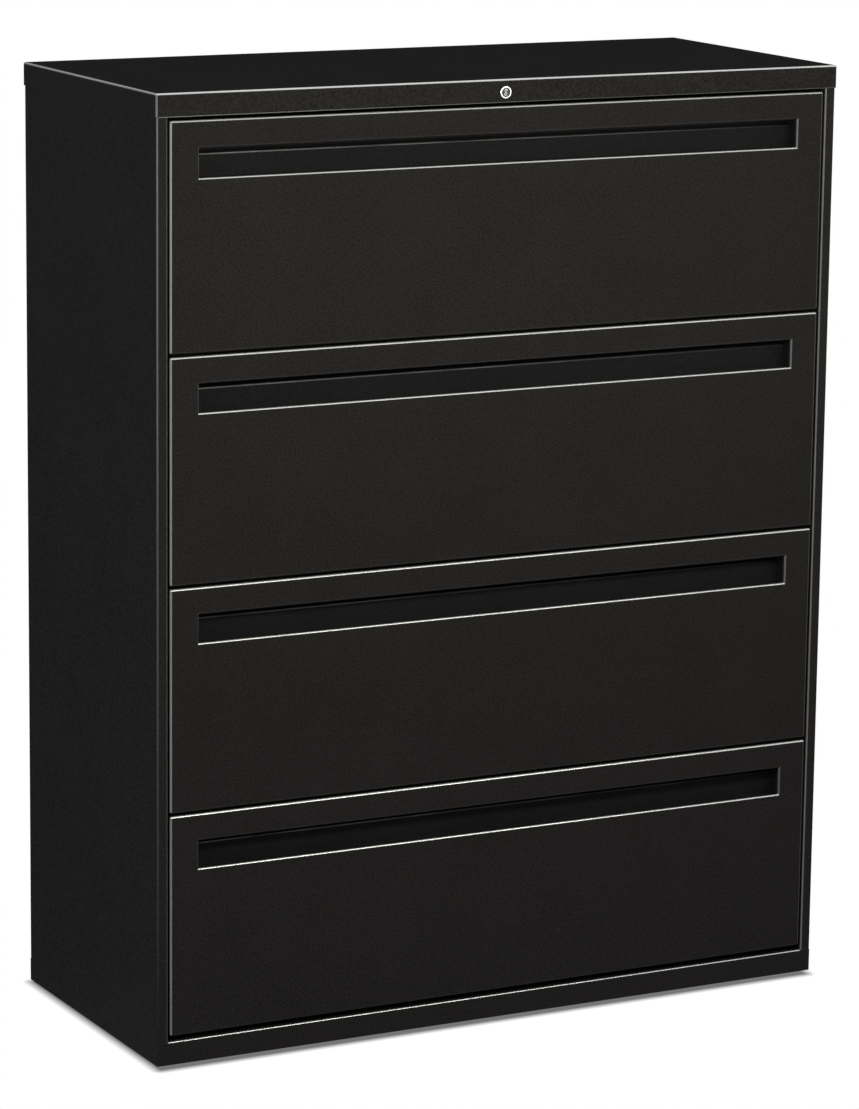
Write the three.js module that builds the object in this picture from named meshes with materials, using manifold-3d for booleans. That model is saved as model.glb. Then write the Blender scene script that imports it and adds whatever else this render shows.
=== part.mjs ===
// Lateral filing cabinet of bent sheet steel: a case with four full-width drawers on telescopic slides,
// one lock in the top rail that bars every drawer, and four levelling glides.
// Millimetres, +Z up, the front faces -Y. The origin is on the floor, in the middle of the footprint.
import * as THREE from 'three';
import { mergeVertices } from 'three/addons/utils/BufferGeometryUtils.js';
import Module from 'manifold-3d';

// Driving dimensions

const CASE = { width: 1066.8, depth: 457.2, height: 1352.55, sheet: 1.2, bend: 2.2 };
const FIT = 0.3; // gap left between two pieces that seat on each other
const RUN = 0.6; // gap round a piece that slides in another
const PAST = 1; // how far a cutting tool reaches past the face that it cuts
const SUNK = 0.5; // how far a stub is sunk into the sheet that it is welded to
const ARC = { bead: 1, edge: 2, slot: 6, arm: 10 }; // facets of one arc of an outline
const ROUND = { hex: 6, pin: 16, bore: 24, bezel: 32 }; // facets of a full turn

const BASE = { height: 33, clearance: 4, overhang: 0.3, bend: 1.6 }; // clearance: height above the floor
const CAP = { height: 32.5 };
const POST = { width: 16, returnDepth: 15, rearReturn: 20 };
const BACK = { flange: 12 };

const DRAWERS = 4;
const REVEAL = { top: 5, between: 4, bottom: 7.6, side: 3.5 };
const FRONT = { sheet: 1, bend: 2.2, flange: 18 };
const PULL = { margin: 43, drop: 38, height: 40, collar: 6, rim: 2.4, corner: 3 };
const PAN = { sheet: 1, bend: 1.5, depth: 26, lowerFlange: 12, topGap: 8 };
const LEDGE = { drop: 11, depth: 12, rise: 4 }; // in the pan's back wall, below the top of the slot
const TUB = { sheet: 1, bend: 2, floor: 12, wall: 238, backGap: 22, flange: 8, foot: 16, shoulder: 38 };
const HEM = { depth: 8, across: 2.4, bend: 0.5 };
const RAIL = { sheet: 1.5, bend: 1, blade: 22, foot: 10, tab: 20, lip: 5, inset: 8 };

const SLIDE = { thickness: 12.7, sheet: 1.2, bend: 0.8, rise: 60, frontGap: 18, length: 385 };
const OUTER = { half: 22.8, lip: 4, open: 3.2 };
const MIDDLE = { half: 16.6, open: 2.5, web: 8.5 };
const INNER = { half: 11.9, tip: 6.4 };
const BEAD = { width: 4, corner: 1 };
const UPRIGHT = { width: 40, rearInset: 38, bend: 1.5 };
const SLOT = { width: 5, height: 18, pitch: 30, count: 2 }; // above each slide, for the next height

const LOCK = { x: -7, drop: 18.2, bezel: 9.6, proud: 2.4, edge: 0.8, barrel: 8.4, length: 22, plug: 6.2 };
const KEYWAY = { width: 2.2, height: 8.6, depth: 20 };
const NUT = { radius: 12, length: 4 };
const CAM = { sheet: 2.5, behind: 1, hub: 6.5, reach: 10, pin: 2.5, tip: 3.5, tail: 3.5 };
const LINK = { sheet: 2.5, height: 14, head: 27, pinInset: 18, margin: 6, headMargin: 8, forkWall: 4 };
const CRADLE = { inset: 124, width: 25, sheet: 1.2, rise: 3.2 };
const BAR = { sheet: 3, width: 14, wallGap: 7.7, ahead: 18, end: 24, neck: 7 };
const BAR_PIN = { radius: 2, below: 9, margin: 6 };
const HOOK = { depth: 4, height: 12, setback: 2, reach: 4 };
const CATCH = { rise: 138, height: 16, depth: 5, gap: 3, behind: 1 };
const GUIDE = { height: 25, sheet: 1.2, end: 45 };
const GLIDE = { foot: 19, edge: 2, taper: 1, footHeight: 9, shoulder: 9.5, stem: 5, stemTop: 48, inset: 50 };
const BOSS = { radius: 11, height: 14 };

// Worked-out places in the case

const halfWidth = CASE.width / 2;
const halfDepth = CASE.depth / 2;
const lap = CASE.sheet + FIT; // the cap laps round the case by one sheet
const sideFace = halfWidth - lap; // outer face of a side panel
const faceY = -halfDepth + lap; // front faces of the posts and drawers
const baseTop = BASE.clearance + BASE.height;
const capBottom = CASE.height - CAP.height;
const capUnder = CASE.height - CASE.sheet;
const postInner = sideFace - POST.width; // inner face of a post, where the uprights and slides start
const drawersTop = capBottom - REVEAL.top;
const drawerHeight = (drawersTop - baseTop - REVEAL.bottom - (DRAWERS - 1) * REVEAL.between) / DRAWERS;
const drawerPitch = drawerHeight + REVEAL.between;
const drawerBottom = (n) => drawersTop - drawerHeight - (n - 1) * drawerPitch;
const lockZ = CASE.height - LOCK.drop;
const barX = sideFace - CASE.sheet - BAR.wallGap; // outer face of the lock bar
const pinX = -barX + LINK.pinInset; // the lock bar's pin
const glideX = halfWidth - GLIDE.inset;
const glideY = halfDepth - GLIDE.inset;

// Worked-out places in a drawer, from the middle of its front's lower edge

const frontHalf = postInner - REVEAL.side;
const slotHalf = frontHalf - PULL.margin;
const slotTop = drawerHeight - PULL.drop;
const slotBottom = slotTop - PULL.height;
const rimWidth = PULL.rim + FRONT.sheet;
const panWall = PAN.depth;
const panRear = panWall + LEDGE.depth;
const panHalf = slotHalf + rimWidth + FIT + PAN.sheet;
const tubNear = FRONT.sheet + FIT; // where the tub meets the back of the front
const tubFront = panRear + PAN.sheet / 2 + FIT;
const tubBack = 2 * (halfDepth - lap) - TUB.backGap;
const tubHalf = postInner - 2 * FIT - SLIDE.thickness;
const tubTop = TUB.floor + TUB.wall;
const slideX = tubHalf + FIT;
const slideY = FRONT.flange + SLIDE.frontGap;
const slideZ = TUB.floor + SLIDE.rise;
const catchBottom = TUB.floor + CATCH.rise;
const barY = slideY - BAR.ahead; // front edge of the lock bar
const catchY = barY + BAR.width - HOOK.setback + CATCH.behind;

// Worked-out places in the lock, from its axis at the front face of the cap

const lockCap = LOCK.drop - CASE.sheet; // underside of the cap
const camY = LOCK.length + CAM.behind;
const linkY = camY + CAM.sheet + RUN;
const tabY = linkY + LINK.sheet + FIT;
const pinOffset = CAM.reach * Math.SQRT1_2; // the cam's pin swings from 45 degrees left to 45 degrees right
const throwX = 2 * pinOffset;
const linkBottom = -CAM.hub;
const barPinZ = lockCap - throwX - BAR_PIN.below; // the lock bar's pin when unlocked

// Finishes

const PAINT = { color: 0x1f1d1e, roughness: 0.5, metalness: 0 };
const ZINC = { color: 0xb4b6b4, roughness: 0.35, metalness: 1 };
const NICKEL = { color: 0xd8d6d0, roughness: 0.2, metalness: 1 };
const NYLON = { color: 0x161616, roughness: 0.6, metalness: 0 };

// Solids

const wasm = await Module();
wasm.setup();

// A three.js geometry as a solid that can be joined and cut.
function solid(geometry) {
  geometry.deleteAttribute('normal');
  geometry.deleteAttribute('uv');
  const merged = mergeVertices(geometry, 1e-4);
  const mesh = new wasm.Mesh({
    numProp: 3,
    vertProperties: merged.attributes.position.array,
    triVerts: new Uint32Array(merged.index.array),
  });
  return new wasm.Manifold(mesh);
}

const join = (...solids) => solids.reduce((a, b) => a.add(b));
const common = (...solids) => solids.reduce((a, b) => a.intersect(b));
const cut = (body, ...tools) => tools.reduce((a, b) => a.subtract(b), body);

// The plane of an outline and the way it is drawn out: (y, z) along X, (x, z) along Y, or (x, y) along Z.
const X = new THREE.Vector3(1, 0, 0);
const Y = new THREE.Vector3(0, 1, 0);
const Z = new THREE.Vector3(0, 0, 1);
const PLANES = {
  x: new THREE.Matrix4().makeBasis(Y, Z, X),
  y: new THREE.Matrix4().makeBasis(X, Z, Y.clone().negate()),
  z: new THREE.Matrix4(),
};

// An outline drawn out along an axis, from one coordinate to another.
function prism(axis, shape, from, to, curveSegments = ARC.edge) {
  const geometry = new THREE.ExtrudeGeometry(shape, { depth: to - from, bevelEnabled: false, curveSegments });
  geometry.translate(0, 0, axis === 'y' ? -to : from);
  return solid(geometry.applyMatrix4(PLANES[axis]));
}

const outline = (points) => new THREE.Shape(points.map(([u, v]) => new THREE.Vector2(u, v)));
const rectangle = ([u0, u1], [v0, v1]) => outline([[u0, v0], [u1, v0], [u1, v1], [u0, v1]]);

// A rectangle whose corners are rounded.
function rounded([u0, u1], [v0, v1], radius) {
  const shape = new THREE.Shape();
  const quarter = Math.PI / 2;
  shape.absarc(u1 - radius, v0 + radius, radius, -quarter, 0);
  shape.absarc(u1 - radius, v1 - radius, radius, 0, quarter);
  shape.absarc(u0 + radius, v1 - radius, radius, quarter, 2 * quarter);
  shape.absarc(u0 + radius, v0 + radius, radius, 2 * quarter, 3 * quarter);
  return shape;
}

// Two circles and the lines that touch both: an arm, or a slot where the radii are the same.
function strap([u0, v0, r0], [u1, v1, r1]) {
  const along = Math.atan2(v1 - v0, u1 - u0);
  const lean = Math.acos((r0 - r1) / Math.hypot(u1 - u0, v1 - v0));
  const shape = new THREE.Shape();
  shape.absarc(u0, v0, r0, along + lean, along - lean + 2 * Math.PI);
  shape.absarc(u1, v1, r1, along - lean, along + lean);
  return shape;
}

// A block with every edge rounded: what three rounded prisms have in common.
function roundedBlock(x, y, z, radius) {
  return common(
    prism('x', rounded(y, z, radius), ...x),
    prism('y', rounded(x, z, radius), ...y),
    prism('z', rounded(x, y, radius), ...z),
  );
}

// A folded tray of one sheet, open on one side: open is the axis and the end, such as 'z1' for the top.
function tray(ranges, open, sheet, bend) {
  const axis = 'xyz'.indexOf(open[0]);
  const end = Number(open[1]);
  const sign = end ? 1 : -1;
  const past = 2 * bend;
  const outer = ranges.map((range) => [...range]);
  const inner = ranges.map(([low, high]) => [low + sheet, high - sheet]);
  const beyond = ranges.map(([low, high]) => [low - past, high + past]);
  outer[axis][end] += sign * past;
  inner[axis][end] = outer[axis][end] + sign * past;
  beyond[axis][1 - end] = ranges[axis][end];
  beyond[axis][end] = outer[axis][end] + sign * past;
  const [x, y, z] = beyond;
  const trim = prism('z', rectangle(x, y), ...z);
  return cut(roundedBlock(...outer, bend), roundedBlock(...inner, bend - sheet), trim);
}

// The outline of a sheet bent along a path: path is the sheet's middle line, bend its inside radius.
function bentSheet(path, sheet, bend) {
  const points = path.map(([u, v]) => new THREE.Vector2(u, v));
  const left = [];
  const right = [];
  const middle = bend + sheet / 2;
  points.forEach((point, i) => {
    const into = i > 0 ? point.clone().sub(points[i - 1]).normalize() : null;
    const out = i < points.length - 1 ? points[i + 1].clone().sub(point).normalize() : null;
    if (!into || !out) {
      const along = into ?? out;
      const across = new THREE.Vector2(-along.y, along.x).multiplyScalar(sheet / 2);
      left.push(point.clone().add(across));
      right.push(point.clone().sub(across));
      return;
    }
    const turn = Math.atan2(into.cross(out), into.dot(out));
    const side = Math.sign(turn);
    const start = point.clone().addScaledVector(into, -middle * Math.tan(Math.abs(turn) / 2));
    const toCentre = new THREE.Vector2(-into.y, into.x).multiplyScalar(side);
    const centre = start.clone().addScaledVector(toCentre, middle);
    for (let k = 0; k <= ARC.edge; k += 1) {
      const spoke = toCentre.clone().negate().rotateAround(new THREE.Vector2(), (turn * k) / ARC.edge);
      left.push(centre.clone().addScaledVector(spoke, middle - (side * sheet) / 2));
      right.push(centre.clone().addScaledVector(spoke, middle + (side * sheet) / 2));
    }
  });
  return new THREE.Shape([...left, ...right.reverse()]);
}

// A piece turned on the Y axis: profile is [radius, y] pairs.
function turned(profile, facets) {
  return solid(new THREE.LatheGeometry(profile.map(([r, d]) => new THREE.Vector2(r, d)), facets));
}

// A round bar along Y or Z through a point of the plane across it.
function rod(axis, radius, [u, v], from, to, facets) {
  const geometry = new THREE.CylinderGeometry(radius, radius, to - from, facets);
  const middle = (from + to) / 2;
  if (axis === 'z') geometry.rotateX(Math.PI / 2).translate(u, v, middle);
  else geometry.translate(u, middle, v);
  return solid(geometry);
}

const SIDES = { left: -1, right: 1 };
const span = (side, a, b) => [side * a, side * b].sort((p, q) => p - q);
const mirrored = (side, path) => path.map(([u, v]) => [side * u, v]);

// A solid as a geometry that a mesh can show.
function shown(body) {
  const mesh = body.getMesh();
  const geometry = new THREE.BufferGeometry();
  const points = new Float32Array(mesh.vertProperties);
  geometry.setAttribute('position', new THREE.BufferAttribute(points, mesh.numProp));
  geometry.setIndex(new THREE.BufferAttribute(new Uint32Array(mesh.triVerts), 1));
  const flat = geometry.toNonIndexed();
  flat.computeVertexNormals();
  return flat;
}

function addPiece(group, name, geometry, finish, place = [0, 0, 0]) {
  const piece = new THREE.Mesh(geometry, new THREE.MeshStandardMaterial(finish));
  piece.name = name;
  piece.position.set(...place);
  group.add(piece);
  return piece;
}

function addGroup(parent, name, place = [0, 0, 0]) {
  const group = new THREE.Group();
  group.name = name;
  group.position.set(...place);
  parent.add(group);
  return group;
}

// Case

// One sheet: rear return, outer wall, front post and the return behind the post.
function sidePanel(side) {
  const t = CASE.sheet / 2;
  const outer = sideFace - t;
  const rear = -faceY - t;
  const path = [
    [outer - POST.rearReturn, rear],
    [outer, rear],
    [outer, faceY + t],
    [postInner + t, faceY + t],
    [postInner + t, faceY + POST.returnDepth],
  ];
  const shape = bentSheet(mirrored(side, path), CASE.sheet, CASE.bend - CASE.sheet);
  return prism('z', shape, baseTop + FIT, capUnder - FIT);
}

// A sheet with its two edges turned forward, held inside the rear returns of the sides.
function backPanel() {
  const t = CASE.sheet / 2;
  const half = sideFace - CASE.sheet - FIT - t;
  const rear = -faceY - CASE.sheet - FIT - t;
  const path = [[-half, rear - BACK.flange], [-half, rear], [half, rear], [half, rear - BACK.flange]];
  return prism('z', bentSheet(path, CASE.sheet, CASE.bend - CASE.sheet), baseTop + FIT, capUnder - FIT);
}

// A hook under the cap in which the lock's link slides.
function linkCradle(x) {
  const t = CRADLE.sheet / 2;
  const front = -halfDepth + linkY - FIT - t;
  const rear = -halfDepth + tabY + FIT + t;
  const bottom = lockZ + linkBottom - FIT - t;
  const path = [[rear, capUnder + SUNK], [rear, bottom], [front, bottom], [front, bottom + CRADLE.rise]];
  return prism('x', bentSheet(path, CRADLE.sheet, FIT), x - CRADLE.width / 2, x + CRADLE.width / 2);
}

// A shallow lid whose edges lap round the case, with the lock's hole in its front edge.
function topCap() {
  const ranges = [[-halfWidth, halfWidth], [-halfDepth, halfDepth], [capBottom, CASE.height]];
  const lid = tray(ranges, 'z0', CASE.sheet, CASE.bend);
  const reach = [-halfDepth - PAST, -halfDepth + CASE.sheet + PAST];
  const hole = rod('y', LOCK.barrel + FIT, [LOCK.x, lockZ], ...reach, ROUND.bore);
  const cradles = [LOCK.x - CRADLE.inset, pinX + CRADLE.inset].map(linkCradle);
  return join(cut(lid, hole), ...cradles);
}

const GLIDES = {
  front_left: [-glideX, -glideY],
  front_right: [glideX, -glideY],
  rear_left: [-glideX, glideY],
  rear_right: [glideX, glideY],
};

// A tray turned upside down, nearly flush with the case on it, with a threaded boss for each glide.
function basePan() {
  const x = sideFace + BASE.overhang;
  const y = -faceY + BASE.overhang;
  const lid = tray([[-x, x], [-y, y], [BASE.clearance, baseTop]], 'z0', CASE.sheet, BASE.bend);
  const places = Object.values(GLIDES);
  const bossZ = [baseTop - BOSS.height, baseTop - SUNK];
  const bosses = places.map((at) => rod('z', BOSS.radius, at, ...bossZ, ROUND.hex));
  const holes = places.map((at) => rod('z', GLIDE.stem + FIT, at, 0, baseTop + PAST, ROUND.pin));
  return cut(join(lid, ...bosses), ...holes);
}

// A channel with pairs of slots, which carries the slides on one side of the case.
function upright(side) {
  const t = CASE.sheet / 2;
  const wall = sideFace - CASE.sheet - FIT;
  const web = postInner + t;
  const path = [[wall, t], [web, t], [web, UPRIGHT.width - t], [wall, UPRIGHT.width - t]];
  const shape = bentSheet(mirrored(side, path), CASE.sheet, UPRIGHT.bend);
  const channel = prism('z', shape, baseTop + FIT, capUnder - FIT);
  const slotY = [(UPRIGHT.width - SLOT.width) / 2, (UPRIGHT.width + SLOT.width) / 2];
  const through = span(side, postInner - PAST, postInner + CASE.sheet + PAST);
  const slots = [];
  for (let n = 1; n <= DRAWERS; n += 1) {
    for (let k = 1; k <= SLOT.count; k += 1) {
      const z = drawerBottom(n) + slideZ + OUTER.half + k * SLOT.pitch;
      slots.push(prism('x', rectangle(slotY, [z, z + SLOT.height]), ...through));
    }
  }
  return cut(channel, ...slots);
}

// A loop on the front of the left upright, in which the lock bar slides up and down.
function barGuide(z) {
  const t = GUIDE.sheet / 2;
  const front = -BAR.ahead - FIT - t;
  const out = -barX - FIT - t;
  const into = -barX + BAR.sheet + FIT + t;
  const path = [[into, t], [into, front], [out, front], [out, t]];
  return prism('z', bentSheet(path, GUIDE.sheet, FIT), z, z + GUIDE.height);
}

function addCase(cabinet) {
  const group = addGroup(cabinet, 'case');
  const frontY = faceY + slideY;
  const rearY = frontY + SLIDE.length - UPRIGHT.rearInset - UPRIGHT.width;
  const guides = [baseTop + GUIDE.end, capBottom - GUIDE.end - GUIDE.height].map(barGuide);
  for (const [name, side] of Object.entries(SIDES)) {
    const plain = upright(side);
    const front = name === 'left' ? join(plain, ...guides) : plain;
    addPiece(group, `side_panel_${name}`, shown(sidePanel(side)), PAINT);
    addPiece(group, `upright_front_${name}`, shown(front), PAINT, [0, frontY, 0]);
    addPiece(group, `upright_rear_${name}`, shown(plain), PAINT, [0, rearY, 0]);
    const outer = shown(slideOuter(side));
    for (let n = 1; n <= DRAWERS; n += 1) {
      const place = [side * slideX, frontY, drawerBottom(n) + slideZ];
      addPiece(group, `slide_${n}_outer_${name}`, outer, ZINC, place);
    }
  }
  addPiece(group, 'back_panel', shown(backPanel()), PAINT);
  addPiece(group, 'top_cap', shown(topCap()), PAINT);
  addPiece(group, 'base_pan', shown(basePan()), PAINT);
}

// Slides: three nested channels, measured outwards from the tub and up from the slide's middle

function channel(side, path, end = SLIDE.length) {
  return prism('y', bentSheet(mirrored(side, path), SLIDE.sheet, SLIDE.bend), 0, end);
}

// The member that is fixed to the uprights, with lips that hold the balls and a stop across its rear end.
function slideOuter(side) {
  const t = SLIDE.sheet / 2;
  const high = OUTER.half - t;
  const web = SLIDE.thickness - t;
  const lip = high - OUTER.lip;
  const open = OUTER.open;
  const path = [[open, lip], [open, high], [web, high], [web, -high], [open, -high], [open, -lip]];
  const end = SLIDE.length + FIT + SLIDE.sheet;
  const stop = rectangle(span(side, open, web), [-MIDDLE.half, MIDDLE.half]);
  return join(channel(side, path, end), prism('y', stop, SLIDE.length + FIT, end));
}

// The member between the two others. A bead stands for each row of balls in its cage.
function slideMiddle(side) {
  const t = SLIDE.sheet / 2;
  const high = MIDDLE.half - t;
  const web = MIDDLE.web;
  const open = MIDDLE.open;
  const outerTop = OUTER.half - SLIDE.sheet - FIT;
  const innerTop = INNER.half + FIT;
  const beads = [];
  for (const [u, low, top] of [[web - BEAD.width, high, outerTop], [open + t, innerTop, high]]) {
    for (const half of [[low, top], [-top, -low]]) {
      const shape = rounded(span(side, u, u + BEAD.width), half, BEAD.corner);
      beads.push(prism('y', shape, 0, SLIDE.length, ARC.bead));
    }
  }
  return join(channel(side, [[open, high], [web, high], [web, -high], [open, -high]]), ...beads);
}

// The member that is fixed to the drawer's tub.
function slideInner(side) {
  const t = SLIDE.sheet / 2;
  const high = INNER.half - t;
  return channel(side, [[INNER.tip, high], [t, high], [t, -high], [INNER.tip, -high]]);
}

// Drawers

// The slot of the pull, flared to a rolled rim at the front face.
function pullSlot() {
  const shape = rounded([-slotHalf, slotHalf], [slotBottom, slotTop], PULL.corner);
  const depth = PULL.collar + 2 * PULL.rim;
  const smooth = { curveSegments: ARC.edge, bevelSegments: ARC.edge };
  const flare = { bevelThickness: PULL.rim, bevelSize: -PULL.rim, bevelOffset: PULL.rim };
  const geometry = new THREE.ExtrudeGeometry(shape, { depth, ...smooth, ...flare });
  geometry.translate(0, 0, -PULL.rim - depth);
  return solid(geometry.applyMatrix4(PLANES.y));
}

// A ring round the slot, behind the front's face.
function slotRing(width, depth) {
  const half = slotHalf + width;
  const shape = rounded([-half, half], [slotBottom - width, slotTop + width], PULL.corner + width);
  return prism('y', shape, FRONT.sheet / 2, depth);
}

// A tray of thin sheet, open to the rear, with the slot of the pull, its rolled rim and its collar.
function drawerFront() {
  const ranges = [[-frontHalf, frontHalf], [0, FRONT.flange], [0, drawerHeight]];
  const skin = tray(ranges, 'y1', FRONT.sheet, FRONT.bend);
  const collar = slotRing(FRONT.sheet, PULL.collar);
  const rim = slotRing(rimWidth, PULL.rim + FRONT.sheet / 2);
  return cut(join(skin, collar, rim), pullSlot());
}

// The finger pocket behind the slot: floor, back wall, a ledge, and a hollow above for the fingertips.
function pullPan() {
  const t = PAN.sheet / 2;
  const near = FRONT.sheet + FIT + t;
  const floor = slotBottom - rimWidth - FIT - t;
  const ledge = slotTop - LEDGE.drop;
  const top = drawerHeight - PAN.topGap;
  const pocket = [[panWall, floor], [panWall, ledge], [panRear, ledge + LEDGE.rise], [panRear, top]];
  const path = [[near, floor - PAN.lowerFlange], [near, floor], ...pocket, [near - t, top]];
  const trough = prism('x', bentSheet(path, PAN.sheet, PAN.bend), -panHalf, panHalf);
  const behindRim = near + PULL.rim;
  const cheek = outline([[behindRim, floor], ...pocket, [behindRim, top]]);
  const ends = Object.values(SIDES).map((side) => span(side, panHalf - PAN.sheet, panHalf));
  return join(trough, ...ends.map((end) => prism('x', cheek, ...end)));
}

// The floor of the tub with its front and rear walls, hemmed at the top, in one sheet.
function tubFloorSheet() {
  const t = TUB.sheet / 2;
  const top = tubTop - t;
  const [front, rear] = [tubFront + t, tubBack - t];
  const floor = TUB.floor + t;
  const frontHem = [[front + HEM.across, top - HEM.depth], [front + HEM.across, top], [front, top]];
  const rearHem = [[rear, top], [rear - HEM.across, top], [rear - HEM.across, top - HEM.depth]];
  const walls = [[front, top - HEM.depth], [front, floor], [rear, floor], [rear, top - HEM.depth]];
  const half = tubHalf - t;
  const sheets = [
    prism('x', bentSheet(walls, TUB.sheet, TUB.bend), -half, half),
    prism('x', bentSheet([...frontHem, [front, top - HEM.depth - SUNK]], TUB.sheet, HEM.bend), -half, half),
    prism('x', bentSheet([[rear, top - HEM.depth - SUNK], ...rearHem], TUB.sheet, HEM.bend), -half, half),
  ];
  return join(...sheets);
}

// One side of the tub: a flange over the slide, the wall, a foot at the floor, and an ear at the front.
function tubSide(side) {
  const t = TUB.sheet / 2;
  const wall = tubHalf - t;
  const floor = TUB.floor + t;
  const top = tubTop - t;
  const section = [[tubHalf + TUB.flange, top], [wall, top], [wall, floor], [wall - TUB.foot, floor]];
  const plan = [[wall - TUB.foot, tubNear + t], [wall, tubNear + t], [wall, tubFront + TUB.bend + SUNK]];
  const shoulder = tubTop - TUB.shoulder;
  return join(
    prism('y', bentSheet(mirrored(side, section), TUB.sheet, TUB.bend), tubFront, tubBack),
    prism('z', bentSheet(mirrored(side, plan), TUB.sheet, TUB.bend), TUB.floor, shoulder),
  );
}

// The open box that holds the files, with a toe and ears that carry the front, and the lock's catch.
function tub() {
  const t = TUB.sheet / 2;
  const floor = TUB.floor + t;
  const toeEnd = tubFront + TUB.bend + PAST;
  const toePath = [[tubNear + t, floor + TUB.foot], [tubNear + t, floor], [toeEnd, floor]];
  const half = tubHalf - TUB.foot;
  const toe = prism('x', bentSheet(toePath, TUB.sheet, TUB.bend), -half, half);
  const catchZ = [catchBottom, catchBottom + CATCH.height];
  const shape = rectangle([-tubHalf - TUB.flange, -tubHalf + SUNK], [catchY, catchY + CATCH.depth]);
  return join(tubFloorSheet(), tubSide(-1), tubSide(1), toe, prism('z', shape, ...catchZ));
}

// The rear bar for hanging files. It hooks over the tub's side flanges and can be set nearer the front.
function hangRail() {
  const t = RAIL.sheet / 2;
  const seat = tubTop + FIT;
  const y = tubBack - RAIL.inset - RAIL.foot;
  const inside = tubHalf - TUB.sheet - FIT;
  const foot = seat + RAIL.sheet - RAIL.blade;
  const barPath = [[y, seat + RAIL.sheet], [y, foot], [y + RAIL.foot, foot]];
  const bar = prism('x', bentSheet(barPath, RAIL.sheet, RAIL.bend), -inside, inside);
  const tip = tubHalf + TUB.flange + FIT + t;
  const hookPath = [[inside - RAIL.tab / 2, seat + t], [tip, seat + t], [tip, seat - RAIL.lip]];
  const along = [y - RAIL.tab / 2, y + RAIL.tab / 2];
  const hookOn = (side) => bentSheet(mirrored(side, hookPath), RAIL.sheet, FIT);
  const hooks = Object.values(SIDES).map((side) => prism('y', hookOn(side), ...along));
  return join(bar, ...hooks);
}

function addDrawers(cabinet) {
  const painted = { front: shown(drawerFront()), pull_pan: shown(pullPan()), tub: shown(tub()) };
  const rail = shown(hangRail());
  const members = Object.entries(SIDES).map(([name, side]) => {
    const middle = shown(slideMiddle(side));
    const inner = shown(slideInner(side));
    return { name, side, middle, inner };
  });
  for (let n = 1; n <= DRAWERS; n += 1) {
    const group = addGroup(cabinet, `drawer_${n}`, [0, faceY, drawerBottom(n)]);
    for (const [name, geometry] of Object.entries(painted)) {
      addPiece(group, `drawer_${n}_${name}`, geometry, PAINT);
    }
    addPiece(group, `drawer_${n}_hang_rail`, rail, ZINC);
    for (const { name, side, middle, inner } of members) {
      const place = [side * slideX, slideY, slideZ];
      addPiece(group, `slide_${n}_middle_${name}`, middle, ZINC, place);
      addPiece(group, `slide_${n}_inner_${name}`, inner, ZINC, place);
    }
  }
}

// Lock

// Bezel and barrel in one, bored for the plug.
function lockBody() {
  const bore = LOCK.plug + FIT;
  const profile = [
    [bore, LOCK.edge - LOCK.proud],
    [bore + LOCK.edge, -LOCK.proud],
    [LOCK.bezel - LOCK.edge, -LOCK.proud],
    [LOCK.bezel, LOCK.edge - LOCK.proud],
    [LOCK.bezel, -FIT],
    [LOCK.barrel, -FIT],
    [LOCK.barrel, LOCK.length],
    [bore, LOCK.length],
    [bore, LOCK.edge - LOCK.proud],
  ];
  return turned(profile, ROUND.bezel);
}

// The nut behind the cap's front edge that holds the lock in its hole.
function lockNut() {
  const near = CASE.sheet + FIT;
  const far = near + NUT.length;
  const bore = rod('y', LOCK.barrel + FIT, [0, 0], near - PAST, far + PAST, ROUND.bore);
  return cut(rod('y', NUT.radius, [0, 0], near, far, ROUND.hex), bore);
}

// The part that turns with the key, and its tail behind the barrel.
function lockPlug() {
  const face = LOCK.edge - LOCK.proud;
  const tailEnd = camY + CAM.sheet;
  const profile = [
    [0, face],
    [LOCK.plug, face],
    [LOCK.plug, LOCK.length],
    [CAM.tail, LOCK.length],
    [CAM.tail, tailEnd],
    [0, tailEnd],
  ];
  const half = [KEYWAY.width / 2, KEYWAY.height / 2];
  const [u, v] = half.map((reach) => [-reach, reach]);
  return cut(turned(profile, ROUND.bore), prism('y', rectangle(u, v), face - PAST, KEYWAY.depth));
}

// A tapered arm on the plug's tail, with the pin that drives the link.
function lockCam() {
  const far = camY + CAM.sheet;
  const arm = prism('y', strap([0, 0, CAM.hub], [-pinOffset, pinOffset, CAM.tip]), camY, far, ARC.arm);
  const pin = rod('y', CAM.pin, [-pinOffset, pinOffset], far - SUNK, linkY + LINK.sheet + RUN, ROUND.pin);
  const hole = rod('y', CAM.tail + FIT, [0, 0], camY - PAST, far + PAST, ROUND.bore);
  return cut(join(arm, pin), hole);
}

// A flat bar behind the top rail: a fork over the cam's pin, and a slanting slot that lifts the lock bar.
function lockLink() {
  const top = lockCap - FIT;
  const stripTop = linkBottom + LINK.height;
  const headBottom = top - LINK.head;
  const left = pinX - throwX - LINK.margin;
  const headRight = pinX + LINK.headMargin;
  const right = LOCK.x + CAM.reach + LINK.margin;
  const fork = LOCK.x - pinOffset;
  const inner = CAM.pin + RUN;
  const outer = inner + LINK.forkWall;
  const forkBottom = pinOffset - CAM.pin - RUN;
  const shape = outline([
    [left, headBottom],
    [headRight, headBottom],
    [headRight, linkBottom],
    [right, linkBottom],
    [right, stripTop],
    [fork + outer, stripTop],
    [fork + outer, top],
    [fork + inner, top],
    [fork + inner, forkBottom],
    [fork - inner, forkBottom],
    [fork - inner, top],
    [fork - outer, top],
    [fork - outer, stripTop],
    [headRight, stripTop],
    [headRight, top],
    [left, top],
  ]);
  const radius = BAR_PIN.radius + RUN;
  const slot = strap([pinX, barPinZ, radius], [pinX - throwX, barPinZ + throwX, radius]);
  const plate = prism('y', shape, linkY, linkY + LINK.sheet);
  return cut(plate, prism('y', slot, linkY - PAST, linkY + LINK.sheet + PAST, ARC.slot));
}

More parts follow.
